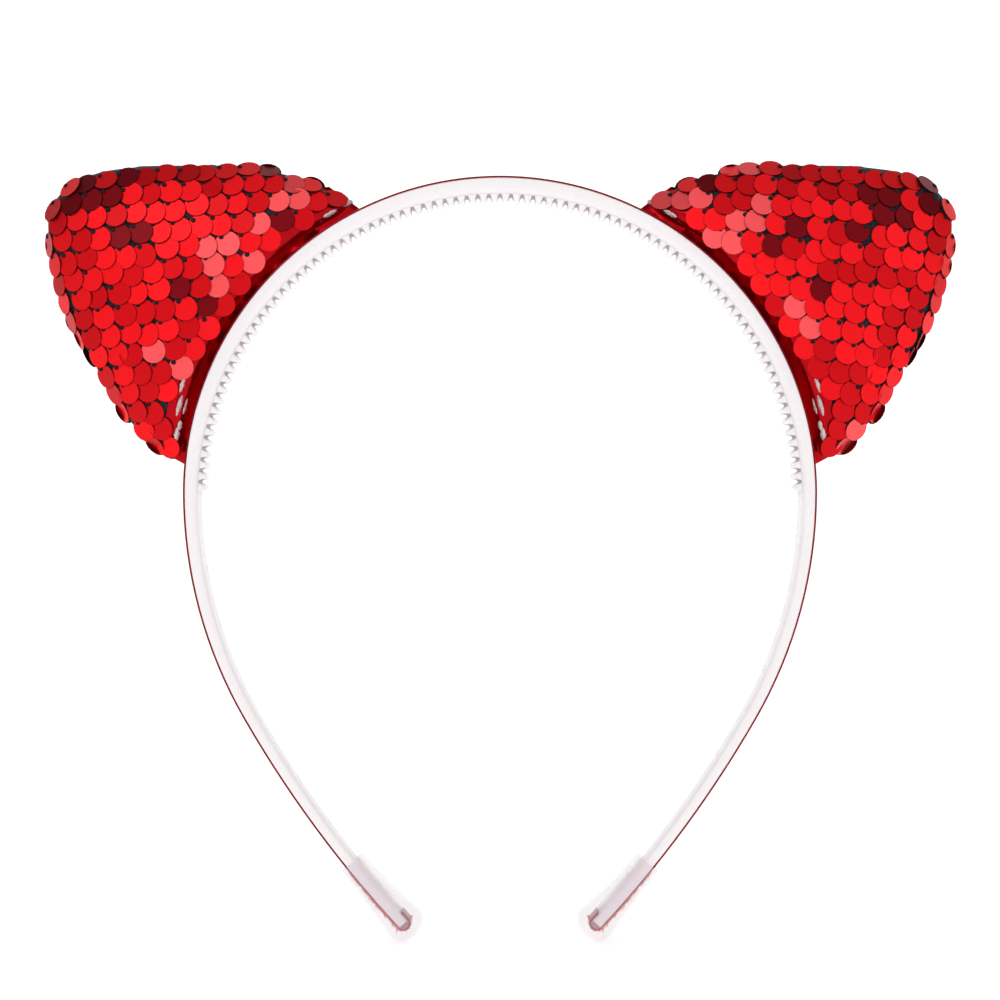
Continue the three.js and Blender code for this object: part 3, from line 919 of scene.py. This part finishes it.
# The right ear's free edge, in mm from the middle of the crown's arc: one row for each
# curve after its first point, from the upper root round both corners to the lower root.
EAR_EDGE = (
    ((38, 66.4), (49, 69.2), (58, 69.2)),
    ((66, 69.2), (76, 69.6), (83, 68.1)),
    ((91.5, 66.3), (96.6, 61.5), (95.4, 54)),
    ((94, 45.5), (92.4, 38), (88.4, 31)),
    ((85.2, 25.4), (81.5, 20), (78.4, 15)),
)
EAR_LAST = ((75.4, 10.6), (70.8, 8))
EAR_MIDDLE = (84, 55.5)
BASE_POINTS = 25
EDGE_POINTS = 12
# Rings of the ear's form, as shares of the way from its middle to its outline, and how its
# half thickness falls off towards the outline.
RIMS = (0.95, 0.84, 0.7, 0.5, 0.26)
DOME_FLAT = 2.6
DOME_FULL = 0.55
COVER_INSET = 0.4 * MM
STUFFING_INSET = 1.5 * MM
NET_THICKNESS = 0.35 * MM
# The cloth is held within this distance of its base and moves no further than this.
HELD_REACH = 1.6 * MM
FURTHEST_MOVE = 1.1 * MM
CLOTH_FRAMES = 20


def base_radius():
    return settings().hoop.crown_radius + settings().ear.base_gap


def base_half(share):
    """Half the ear's thickness along its base, from 0 at the roots."""
    return settings().ear.base_half * max(0, math.sin(math.pi * share)) ** 0.4


def base_point(share):
    """A point (x, z) of the ear's base from its upper root, 0, to its lower root, 1."""
    e = settings().ear
    turn = e.start + (e.end - e.start) * share
    return Vector((base_radius() * math.sin(turn),
                   crown_centre() + base_radius() * math.cos(turn)))


def ear_outline():
    """Points (x, z) and half thicknesses round the right ear, its base first."""
    points, halves = [], []
    for index in range(BASE_POINTS):
        share = 1 - index / BASE_POINTS
        points.append(base_point(share))
        halves.append(base_half(share))
    origin = Vector((0, crown_centre()))
    corner = base_point(0)
    for row in (*EAR_EDGE, EAR_LAST):
        knots = [origin + Vector(pair) * MM for pair in row]
        if len(knots) == 2:
            knots.append(base_point(1))
        curve = geometry.interpolate_bezier(
            corner.to_3d(), knots[0].to_3d(), knots[1].to_3d(), knots[2].to_3d(),
            EDGE_POINTS + 1)
        points += [point.to_2d() for point in curve[:-1]]
        halves += [0] * EDGE_POINTS
        corner = knots[2]
    return points, halves


def ear_middle():
    reach, turn = EAR_MIDDLE[0] * MM, math.radians(EAR_MIDDLE[1])
    return Vector((reach * math.sin(turn), crown_centre() + reach * math.cos(turn)))


def build_pillow(name, inset):
    """The right ear's closed form, inset from its outline: a crowned front and back that
    meet round the free edge, and a narrow base between them."""
    e = settings().ear
    points, halves = ear_outline()
    count = len(points)
    middle = ear_middle()
    deselect()
    bpy.ops.mesh.primitive_circle_add(vertices=count, radius=1, fill_type="NGON")
    obj = take_new(name)
    edit(obj, everything=True)
    bpy.ops.mesh.select_mode(type="FACE")
    reach = 1
    for rim in RIMS:
        bpy.ops.mesh.inset(thickness=reach - rim)
        reach = rim
    bpy.ops.mesh.poke()
    end_edit()
    for vertex in obj.data.vertices:
        rim = min(1, vertex.co.length)
        turn = math.atan2(vertex.co.y, vertex.co.x)
        index = round(turn / (2 * math.pi) * count) % count
        edge = points[index] - middle
        reach = rim * (1 - inset / edge.length)
        flat = middle + edge * reach
        dome = (1 - rim ** DOME_FLAT) ** DOME_FULL
        half = halves[index] + (e.half_thickness - inset - halves[index]) * dome
        if rim > 0.999:
            half = max(0, halves[index] - inset)
        vertex.co = (flat.x, -half, flat.y)
    edit(obj, everything=True)
    bpy.ops.mesh.duplicate()
    bpy.ops.transform.resize(value=(1, -1, 1), center_override=(0, 0, 0))
    bpy.ops.mesh.select_all(action="SELECT")
    bpy.ops.mesh.remove_doubles(threshold=1e-6)
    mesh = bmesh.from_edit_mesh(obj.data)
    open_verts = {v for edge in mesh.edges if edge.is_boundary for v in edge.verts}
    ordered = sorted(open_verts, key=lambda v: turn_of(v.co.x, v.co.z)[0])
    front = [v for v in ordered if v.co.y <= 0]
    back = [v for v in ordered if v.co.y >= 0]
    for (a, b), (c, d) in zip(zip(front, front[1:]), zip(back, back[1:])):
        corners = list(dict.fromkeys((a, b, d, c)))
        mesh.faces.new(corners)
    bmesh.update_edit_mesh(obj.data)
    end_edit()
    close_seams(obj)
    return obj


def remesh(obj, size):
    modifier = obj.modifiers.new("Remesh", "REMESH")
    modifier.mode = "VOXEL"
    modifier.voxel_size = size
    apply_modifiers(obj)


def inflate(obj):
    """Blows the closed cloth up a little, held at its base."""
    held = obj.vertex_groups.new(name="held")
    reach = base_radius() + HELD_REACH
    origin = Vector((0, 0, crown_centre()))
    base = [v.index for v in obj.data.vertices
            if Vector((v.co.x, 0, v.co.z - origin.z)).length < reach]
    held.add(base, 1, "REPLACE")
    cloth = obj.modifiers.new("Cloth", "CLOTH")
    cloth.settings.quality = 6
    cloth.settings.mass = 0.002
    cloth.settings.tension_stiffness = 12
    cloth.settings.compression_stiffness = 12
    cloth.settings.shear_stiffness = 4
    cloth.settings.bending_stiffness = 0.05
    cloth.settings.use_pressure = True
    cloth.settings.uniform_pressure_force = settings().ear.pressure
    cloth.settings.vertex_group_mass = "held"
    cloth.settings.effector_weights.gravity = 0
    cloth.collision_settings.use_collision = False
    before = [v.co.copy() for v in obj.data.vertices]
    for step in range(1, CLOTH_FRAMES + 1):
        bpy.context.scene.frame_set(step)
    blown = obj.evaluated_get(bpy.context.evaluated_depsgraph_get()).to_mesh()
    after = [v.co.copy() for v in blown.vertices]
    obj.modifiers.remove(cloth)
    bpy.context.scene.frame_set(1)
    for vertex, old, new in zip(obj.data.vertices, before, after):
        move = new - old
        if move.length > FURTHEST_MOVE:
            move *= FURTHEST_MOVE / move.length
        vertex.co = old + move
    obj.vertex_groups.clear()


def build_cover():
    """The right ear's cover, a stuffed bag of net, still without its thickness."""
    obj = build_pillow("ear_cover_right", COVER_INSET)
    remesh(obj, settings().ear.voxel)
    inflate(obj)
    soften = obj.modifiers.new("Soften", "SMOOTH")
    soften.factor = 0.5
    soften.iterations = 2
    divide = obj.modifiers.new("Divide", "SUBSURF")
    divide.levels = divide.render_levels = 1
    apply_modifiers(obj)
    return obj


def thicken(obj, thickness):
    """Gives a closed skin an inner wall."""
    wall = obj.modifiers.new("Wall", "SOLIDIFY")
    wall.thickness = thickness
    wall.offset = -1
    apply_modifiers(obj)


def cover_tree():
    """The finished right cover's surface, to lay things on."""
    cover = bpy.data.objects["ear_cover_right"]
    return BVHTree.FromPolygons([v.co for v in cover.data.vertices],
                                [list(p.vertices) for p in cover.data.polygons])


CLEAR_OF_EAR = 30 * MM


def skin_at(tree, x, z, face):
    """Where the cover's front or back lies over (x, z), with its normal, or None."""
    start = Vector((x, face * CLEAR_OF_EAR, z))
    place, normal, _, _ = tree.ray_cast(start, Vector((0, -face, 0)))
    return (place, normal) if place else None


# ---------------------------------------------------------------- base bindings and glue


TAPE_GRID = (72, 32)
TAPE_LIFT = 0.12 * MM
TAPE_THICKNESS = 0.16 * MM
# How far the tape goes under the ear's base, and the share of its half width that is there.
TAPE_UNDER = 0.95 * MM
TAPE_FOLD = 0.25
# How high the tape climbs in mm: its width at the upper root, and what it loses by the lower.
TAPE_WIDTH = 8
TAPE_NARROWING = 3.4
TAPE_RIPPLE = 0.12


def outward(root):
    """Away from the middle of the crown's arc, on the flat."""
    return (root - Vector((0, crown_centre()))).normalized()


def climb_way(share):
    """Which way the tape climbs from the ear's base: outward, and along the free edge at
    both roots."""
    origin = Vector((0, crown_centre()))
    first, last = base_point(0), base_point(1)
    if share < 0.5:
        edge = origin + Vector(EAR_EDGE[0][0]) * MM - first
    else:
        edge = origin + Vector(EAR_LAST[0]) * MM - last
    straight = outward(base_point(share))
    return straight.lerp(edge.normalized(), abs(2 * share - 1) ** 4).normalized()


def build_binding():
    """Tape folded round the right ear's base, from one face to the other."""
    tree = cover_tree()
    columns, rows = TAPE_GRID
    deselect()
    bpy.ops.mesh.primitive_grid_add(x_subdivisions=columns, y_subdivisions=rows, size=2)
    obj = take_new("base_binding_right")
    for vertex in obj.data.vertices:
        share = (vertex.co.x + 1) / 2
        across = vertex.co.y
        face = -1 if across < 0 else 1
        root = base_point(share)
        foot = root - outward(root) * TAPE_UNDER
        wide = (TAPE_WIDTH - TAPE_NARROWING * share) * MM
        ripple = 1 + TAPE_RIPPLE * noise.noise((share * 9, face, 0.5))
        climb = max(0, abs(across) - TAPE_FOLD) / (1 - TAPE_FOLD)
        point = foot + climb_way(share) * (wide * ripple * climb)
        hit = skin_at(tree, point.x, point.y, face)
        low = base_half(share) * 0.97 * (1 - climb)
        half = max(abs(hit[0].y) if hit else 0, low) + TAPE_LIFT
        half *= min(1, abs(across) / TAPE_FOLD)
        vertex.co = (point.x, face * half, point.y)
    wall = obj.modifiers.new("Wall", "SOLIDIFY")
    wall.thickness = TAPE_THICKNESS
    wall.offset = 0
    soften = obj.modifiers.new("Soften", "SMOOTH")
    soften.factor = 0.5
    soften.iterations = 1
    apply_modifiers(obj)
    close_seams(obj)
    return obj


# Each run of glue: its start and end as shares of the ear's base, how far its middle is
# out from the base, and half its width and its height, in mm.
GLUE_RUNS = (
    (0.742, 0.792, 2.4, 0.4, 0.9),
    (0.795, 0.86, 1.8, 0.45, 1.1),
    (0.8, 0.85, 0.7, 0.2, 0.5),
    (0.87, 0.9, 0.9, 0.4, 0.4),
    (0.892, 0.935, 1.2, 0.5, 0.5),
    (0.065, 0.11, 0.9, 0.4, 0.7),
    (0.01, 0.05, 1.4, 0.6, 0.6),
)
GLUE_LIFT = 0.3 * MM
GLUE_SUNK = -0.15
GLUE_SWELL = 0.35


def build_glue(face):
    """Runs of set glue where the right ear meets the ribbon."""
    tree = cover_tree()
    runs = []
    for index, (first, last, out, wide, high) in enumerate(GLUE_RUNS):
        deselect()
        bpy.ops.mesh.primitive_ico_sphere_add(subdivisions=4, radius=1)
        run = take_new("glue_run")
        for vertex in run.data.vertices:
            x, y, z = vertex.co
            wave = Vector((x * 4, y * 1.5, z * 1.5 + 7 * index + face))
            swell = 1 + GLUE_SWELL * noise.noise(wave)
            share = (first + last) / 2 + x * (last - first) / 2
            root = base_point(min(0.999, max(0.001, share)))
            point = root + outward(root) * (out + y * wide * swell) * MM
            hit = skin_at(tree, point.x, point.y, face)
            floor = max(abs(hit[0].y) if hit else 0, 0.6 * base_half(share))
            height = GLUE_LIFT + max(GLUE_SUNK, z) * high * swell * MM
            vertex.co = (point.x, face * (floor + height), point.y)
        runs.append(run)
    for run in runs[1:]:
        run.select_set(True)
    bpy.context.view_layer.objects.active = runs[0]
    runs[0].select_set(True)
    bpy.ops.object.join()
    obj = bpy.context.active_object
    place = "front" if face < 0 else "back"
    obj.name = obj.data.name = f"hot_glue_{place}_right"
    close_seams(obj)
    return obj


# ---------------------------------------------------------------- sequins

# Where a disc's hole is, as a share of the way from its middle to its rim.
HOLE_SHARE = 0.74
# A disc's vertices farther than RIM_SHARE of its diameter from its middle are darkened to RIM_SHADE:
# a painted shadow line round each disc.
RIM_SHADE = 0.16
RIM_SHARE = 0.49
DISC_SIDES = 16
DISC_CHAMFER = (0.13 * MM, 0.03 * MM)
KNOT_RADIUS = 0.55 * MM
KNOT_HOLE = 0.2 * MM
KNOT_GLINT = 2.6
# Rows and columns of stitches, counted from the ear's middle, and their scatter: of their
# place in mm, and of the discs' turn and lean in radians.
GRID_ROWS = range(-10, 11)
GRID_COLUMNS = range(-14, 15)
PLACE_SCATTER = 0.18
TURN_SCATTER = 0.16
LEAN_SCATTER = 0.022
# Which way the discs hang from their stitches, and how far their free end tips outwards.
HANG = Vector((-0.72, -0.69))
DISC_TILT = 0.1
# A disc's middle lies this far over the net in mm, and further where it faces forward.
DISC_LIFT = 0.3
DISC_LIFT_MORE = 0.12
# How near the seam between the two panels a stitch and a disc's middle may come.
STITCH_TO_SEAM = 0.3 * MM
DISC_TO_SEAM = 0.45 * MM
STEP_OVER_NET = 0.5 * MM
# The discs' gap to the ear's base in mm, which widens over the lower run of glue: the
# place of its middle and its spread are shares of the base.
BASE_OVERLAP = -0.7
GLUE_GAP = 1.5
GLUE_MIDDLE = 0.82
GLUE_SPREAD = 0.09
# A disc's tone is a draw from 0 to 1. It is dark below one limit inside the dark patches
# and below another elsewhere, pale above one limit near the base and above another
# elsewhere, of the middle tone below the last limit, and bright if it is none of these.
# The dark and middle tones are painted shade and the pale tone a painted highlight, for
# discs turned away from or towards the light.
SHADE_PATCH_SIZE = 9 * MM
SHADE_PATCH_LEVEL = 0.26
PAINTED_SHADE_IN_PATCH = 0.4
PAINTED_SHADE_ANYWHERE = 0.03
PAINTED_HIGHLIGHT_ZONE = 11 * MM
PAINTED_HIGHLIGHT_NEAR_BASE = 0.78
PAINTED_HIGHLIGHT_ANYWHERE = 0.975
HALF_SHADE_LIMIT = 0.42
BRIGHT_SPREAD = 0.35
SIDE_SEED = 10


def build_disc():
    """One punched sequin, flat in xy, with a chamfered rim."""
    e = settings().ear
    deselect()
    bpy.ops.mesh.primitive_circle_add(vertices=DISC_SIDES, radius=e.sequin / 2,
                                      fill_type="NGON")
    obj = take_new("disc")
    edit(obj, everything=True)
    bpy.ops.mesh.select_mode(type="FACE")
    bpy.ops.mesh.extrude_region_move(TRANSFORM_OT_translate={"value": (0, 0, e.film)})
    bpy.ops.mesh.inset(thickness=DISC_CHAMFER[0], depth=DISC_CHAMFER[1])
    end_edit()
    close_seams(obj)
    return obj


def build_knot():
    """One stitch: a low ring of thread with a dip in its middle, flat in xy."""
    deselect()
    bpy.ops.mesh.primitive_circle_add(vertices=8, radius=KNOT_RADIUS, fill_type="NGON")
    obj = take_new("knot")
    edit(obj, everything=True)
    bpy.ops.mesh.select_mode(type="FACE")
    bpy.ops.mesh.extrude_region_move(TRANSFORM_OT_translate={"value": (0, 0, 0.1 * MM)})
    bpy.ops.mesh.inset(thickness=0.16 * MM, depth=0.1 * MM)
    bpy.ops.mesh.inset(thickness=0.2 * MM, depth=-0.1 * MM)
    end_edit()
    close_seams(obj)
    return obj


def walk(tree, heading, distance, face):
    """Goes a distance over the cover from its middle, and gives (place, normal) there, or
    None past the seam."""
    middle = ear_middle()
    place, normal = skin_at(tree, middle.x, middle.y, face)
    ahead = Vector((heading.x, 0, heading.y))
    steps = max(1, round(distance / STEP_OVER_NET))
    for _ in range(steps):
        ahead = (ahead - normal * ahead.dot(normal)).normalized()
        place, normal, _, _ = tree.find_nearest(place + ahead * distance / steps)
        if place.y * face < STITCH_TO_SEAM:
            return None
    return place, normal


def pick_tint(dice, place, near_base):
    """The colour of the disc that is sewn on at this place: bright red, or painted shade or a
    painted highlight drawn by chance, in patches and near the base.
    """
    f = settings().finish
    patch = noise.noise(place / SHADE_PATCH_SIZE)
    chance = dice.random()
    if patch > SHADE_PATCH_LEVEL and chance < PAINTED_SHADE_IN_PATCH or chance < PAINTED_SHADE_ANYWHERE:
        return f.dark
    if near_base and chance > PAINTED_HIGHLIGHT_NEAR_BASE or chance > PAINTED_HIGHLIGHT_ANYWHERE:
        return f.pale
    if chance < HALF_SHADE_LIMIT:
        return f.middle
    share = BRIGHT_SPREAD * dice.random()
    return [high + (low - high) * share for high, low in zip(f.bright, f.middle)]


def stitch_places(dice):
    """Over the flat grid of stitches: each one's place from the ear's middle, the turn of
    its disc, and the disc's two leans."""
    e = settings().ear
    row = Vector((math.cos(e.row_slope), -math.sin(e.row_slope)))
    for line in GRID_ROWS:
        for index in GRID_COLUMNS:
            flat = Vector((-e.row_shift, -e.row_gap)) * line + row * e.pitch * index
            scatter = Vector((dice.gauss(0, PLACE_SCATTER), dice.gauss(0, PLACE_SCATTER)))
            flat += scatter * MM
            turn = dice.gauss(0, TURN_SCATTER)
            yield flat, turn, (dice.gauss(0, LEAN_SCATTER), dice.gauss(0, LEAN_SCATTER))


def base_gap_at(place):
    """How far from the ear's base the edge of a disc sewn on at this place stays."""
    e = settings().ear
    turn = turn_of(place.x, place.z)[0]
    share = (turn - e.start) / (e.end - e.start)
    swell = math.exp(-((share - GLUE_MIDDLE) / GLUE_SPREAD) ** 2)
    return (BASE_OVERLAP + GLUE_GAP * swell) * MM


def disc_axes(down, up, lean):
    """A disc's own axes as a matrix: it hangs down over the surface whose normal is up."""
    down = (down - up * down.dot(up)).normalized()
    tilt = DISC_TILT * abs(up.y) ** 0.7 + lean[0]
    ahead = (down + up * tilt).normalized()
    aside = (up.cross(ahead) + up * lean[1]).normalized()
    above = ahead.cross(aside).normalized()
    if above.dot(up) < 0:
        above = -above
        aside = -aside
    return Matrix((ahead, aside, above)).transposed().to_4x4()


def build_sequins(face, seed):
    """The sequins and stitches of one panel of the right ear."""
    e = settings().ear
    dice = random.Random(seed)
    tree = cover_tree()
    origin = Vector((0, crown_centre()))
    hole = Matrix.Translation((-HOLE_SHARE * e.sequin / 2, 0, e.film + DISC_CHAMFER[1]))
    discs, knots, tints = [], [], []
    for flat, turn, lean in stitch_places(dice):
        if flat.length < 0.1 * MM:
            continue
        found = walk(tree, flat.normalized(), flat.length, face)
        if not found:
            continue
        place, normal = found
        down = Matrix.Rotation(turn, 2) @ HANG
        down = Vector((down.x, 0, down.y))
        down = (down - normal * down.dot(normal)).normalized()
        centre = place + down * HOLE_SHARE * e.sequin / 2
        near, flatter, _, _ = tree.find_nearest(centre)
        edge = (Vector((centre.x, centre.z)) - origin).length - base_radius()
        if edge < base_gap_at(place) + e.sequin / 2 or near.y * face < DISC_TO_SEAM:
            continue
        up = (flatter * 0.6 + normal * 0.4 + Vector((0, face * 0.15, 0))).normalized()
        centre = near + up * (DISC_LIFT + DISC_LIFT_MORE * abs(up.y)) * MM
        matrix = Matrix.Translation(centre) @ disc_axes(down, up, lean)
        discs.append(matrix)
        knots.append(matrix @ hole)
        tints.append(tuple(pick_tint(dice, Vector(place), edge < PAINTED_HIGHLIGHT_ZONE)))
    disc, knot = build_disc(), build_knot()
    # Painted shadow line: the outer ring of each disc is darkened.
    shades = [RIM_SHADE if v.co.to_2d().length > RIM_SHARE * e.sequin else 1
              for v in disc.data.vertices]
    name = "front" if face < 0 else "back"
    sequins = repeated(disc, discs, f"sequins_{name}_right", tints, shades)
    thread = tuple(settings().finish.thread)
    glints = [KNOT_GLINT if v.co.to_2d().length < KNOT_HOLE else 1
              for v in knot.data.vertices]
    stitches = repeated(knot, knots, f"stitches_{name}_right", [thread] * len(knots), glints)
    remove(disc)
    remove(knot)
    return sequins, stitches


# ---------------------------------------------------------------- stage

# In metres and watts, apart from the camera's focal length and sensor, which are in mm.
FLOOR_GAP = 0.2 * MM
FLOOR_SIZE = 2.4
BACKDROP_FROM = 1.1
BACKDROP_HEIGHT = 1.6
BACKDROP_CURVE = 0.8
SOFTBOXES = (
    ("Key_softbox", (-0.45, -0.95, 0.55), 0.5, 1.6),
    ("Fill_softbox", (0.9, -0.7, 0.2), 0.9, 0.8),
    ("Back_softbox", (0.1, 0.9, 0.8), 0.8, 0.5),
)
CAMERA_DISTANCE = 0.545
CAMERA_DROP = 1.5 * MM
FOCAL_LENGTH = 93.5
SENSOR_WIDTH = 36


def build_floor(ground):
    """A floor that curves up into a backdrop behind the object."""
    deselect()
    bpy.ops.mesh.primitive_plane_add(size=FLOOR_SIZE, location=(0, 0, ground))
    floor = take_new("studio_floor")
    edit(floor)
    select_where(floor, "EDGE", lambda middle: middle.y > BACKDROP_FROM)
    bpy.ops.mesh.extrude_edges_move(TRANSFORM_OT_translate={"value": (0, 0, BACKDROP_HEIGHT)})
    select_where(floor, "EDGE",
                 lambda middle: middle.y > BACKDROP_FROM and abs(middle.z - ground) < MM)
    bpy.ops.mesh.bevel(offset=BACKDROP_CURVE, segments=16, affect="EDGES")
    end_edit()
    smooth(floor, degrees=60)
    paint(floor, studio_floor())
    return floor


def build_world(scene):
    """A white room, brighter in front and behind than at the sides, above and below, so
    that glossy edges show darker tones."""
    world = bpy.data.worlds.new("Soft_white_room")
    world.use_nodes = True
    tree = world.node_tree
    heading = add_node(tree, "ShaderNodeSeparateXYZ", links={
        "Vector": add_node(tree, "ShaderNodeTexCoord").outputs["Generated"]})
    ahead = add_node(tree, "ShaderNodeMath", links={0: heading.outputs["Y"]},
                     operation="ABSOLUTE")
    room = add_node(tree, "ShaderNodeMapRange", {"To Min": 0.12, "To Max": 0.8,
                                                 "From Max": 0.5},
                    {"Value": ahead.outputs[0]})
    background = tree.nodes["Background"]
    background.inputs["Color"].default_value = (1, 1, 1, 1)
    tree.links.new(room.outputs["Result"], background.inputs["Strength"])
    scene.world = world
    scene.view_settings.view_transform = "Standard"


def build_lamps(scene, target):
    """Square soft boxes that face the target: name, place, size and power."""
    for name, place, size, power in SOFTBOXES:
        light = bpy.data.lights.new(name, "AREA")
        light.size = size
        light.energy = power
        lamp = bpy.data.objects.new(name, light)
        lamp.location = place
        lamp.rotation_euler = (target - Vector(place)).to_track_quat("-Z", "Y").to_euler()
        scene.collection.objects.link(lamp)


def build_camera(scene):
    """Level with the middle of the crown's arc, straight in front."""
    lens = bpy.data.cameras.new("Camera")
    lens.lens = FOCAL_LENGTH
    lens.sensor_width = SENSOR_WIDTH
    camera = bpy.data.objects.new("Camera", lens)
    camera.location = (0, -CAMERA_DISTANCE, crown_centre() - CAMERA_DROP)
    camera.rotation_euler = (math.pi / 2, 0, 0)
    scene.collection.objects.link(camera)
    scene.camera = camera


# ---------------------------------------------------------------- operators


def hand_over_plastic(right, degrees):
    """Both halves of a piece of the plastic moulding, shaded and painted, with their places baked
    into their meshes.
    """
    for side in SIDES:
        half = on_side(right, side)
        smooth(half, degrees)
        paint(half, moulded_plastic())
        bend_with(half)
        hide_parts("hoop_crown", f"hoop_{side}_arm")


class HAIRHOOP_OT_band(bpy.types.Operator):
    """Builds the moulded plastic band in two halves"""

    bl_idname = "hair_hoop.band"
    bl_label = "Band"

    def execute(self, context):
        hand_over_plastic(build_band(), degrees=40)
        return {"FINISHED"}


class HAIRHOOP_OT_comb(bpy.types.Operator):
    """Builds the comb teeth inside the upper half circle"""

    bl_idname = "hair_hoop.comb"
    bl_label = "Comb"

    def execute(self, context):
        hand_over_plastic(build_comb(), degrees=55)
        return {"FINISHED"}


class HAIRHOOP_OT_ribbon(bpy.types.Operator):
    """Builds the foil ribbon over the band and its frayed ends"""

    bl_idname = "hair_hoop.ribbon"
    bl_label = "Ribbon"

    def execute(self, context):
        right = build_ribbon()
        fray = build_fray()
        for side in SIDES:
            half = on_side(right, side)
            smooth(half)
            paint(half, foil_ribbon())
            bend_with(half)
            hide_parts("ribbon_crown", f"ribbon_{side}")
            threads = on_side(fray, side)
            dress(threads, side, frayed_thread())
        return {"FINISHED"}


class HAIRHOOP_OT_tip_sleeves(bpy.types.Operator):
    """Builds the clear caps on both tips"""

    bl_idname = "hair_hoop.tip_sleeves"
    bl_label = "Tip caps"

    def execute(self, context):
        right = build_cap()
        for side in SIDES:
            cap = on_side(right, side)
            dress(cap, side, soft_vinyl())
            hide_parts(f"tip_cap_{side}")
        return {"FINISHED"}


class HAIRHOOP_OT_ears(bpy.types.Operator):
    """Builds the stuffed ears, their sequins, tape and glue"""

    bl_idname = "hair_hoop.ears"
    bl_label = "Ears"

    def execute(self, context):
        e = settings().ear
        filling = build_pillow("ear_stuffing_right", STUFFING_INSET)
        remesh(filling, e.voxel)
        cover = build_cover()
        binding = build_binding()
        glue = {name: build_glue(face) for name, face in FACES.items()}
        sewn = {}
        for side, sign in SIDES.items():
            for name, face in FACES.items():
                pieces = build_sequins(face, e.seed + SIDE_SEED * sign + face)
                sewn[side, name] = [on_side(piece, side) for piece in pieces]
                if sign < 0:
                    for piece in pieces:
                        remove(piece)
        thicken(cover, NET_THICKNESS)
        for side in SIDES:
            bag = on_side(cover, side)
            dress(bag, side, black_net(), degrees=60)
            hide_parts(f"ear_front_panel_{side}", f"ear_back_panel_{side}")
            pad = on_side(filling, side)
            dress(pad, side, wadding(), degrees=60)
            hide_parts(f"ear_foam_pad_{side}")
            tape = on_side(binding, side)
            dress(tape, side, gloss_tape(), degrees=60)
            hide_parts(f"ear_base_tape_{side}")
            for name in FACES:
                bead = on_side(glue[name], side)
                dress(bead, side, hot_glue(), degrees=60)
                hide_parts(f"glue_bead_{name}_{side}")
                sequins, stitches = sewn[side, name]
                dress(sequins, side, metallised_sequin(), degrees=6)
                dress(stitches, side, sewing_thread(), degrees=50)
        return {"FINISHED"}


class HAIRHOOP_OT_stage(bpy.types.Operator):
    """Builds the pale floor and backdrop, the soft lights and the camera"""

    bl_idname = "hair_hoop.stage"
    bl_label = "Stage"

    def execute(self, context):
        low, high = (Vector(corner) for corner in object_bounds())
        floor = build_floor(low.z - FLOOR_GAP)
        floor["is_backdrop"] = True
        build_world(context.scene)
        build_lamps(context.scene, Vector((0, 0, (low.z + high.z) / 2)))
        build_camera(context.scene)
        return {"FINISHED"}


OPERATORS = (HAIRHOOP_OT_band, HAIRHOOP_OT_comb, HAIRHOOP_OT_ribbon, HAIRHOOP_OT_tip_sleeves,
             HAIRHOOP_OT_ears, HAIRHOOP_OT_stage)


class HAIRHOOP_PT_panel(bpy.types.Panel):
    """Lists the hair hoop's operators and sizes"""

    bl_idname = "HAIRHOOP_PT_panel"
    bl_label = "Hair Hoop"
    bl_space_type = "VIEW_3D"
    bl_region_type = "UI"
    bl_category = "Hair Hoop"

    def draw(self, context):
        for operator in OPERATORS:
            self.layout.operator(operator.bl_idname)
        hair_hoop = context.scene.hair_hoop
        for group in (hair_hoop.hoop, hair_hoop.ear, hair_hoop.finish):
            box = self.layout.box()
            for name in group.bl_rna.properties.keys():
                if name not in ("rna_type", "name"):
                    box.prop(group, name)


CLASSES = (HoopSizes, EarSizes, Finishes, HairHoop, *OPERATORS, HAIRHOOP_PT_panel)


def register():
    for cls in CLASSES:
        bpy.utils.register_class(cls)
    bpy.types.Scene.hair_hoop = bpy.props.PointerProperty(type=HairHoop)


def unregister():
    del bpy.types.Scene.hair_hoop
    for cls in reversed(CLASSES):
        bpy.utils.unregister_class(cls)


def main():
    register()
    bpy.ops.hair_hoop.band()
    bpy.ops.hair_hoop.comb()
    bpy.ops.hair_hoop.ribbon()
    bpy.ops.hair_hoop.tip_sleeves()
    bpy.ops.hair_hoop.ears()
    bpy.ops.hair_hoop.stage()


if __name__ == "__main__":
    main()
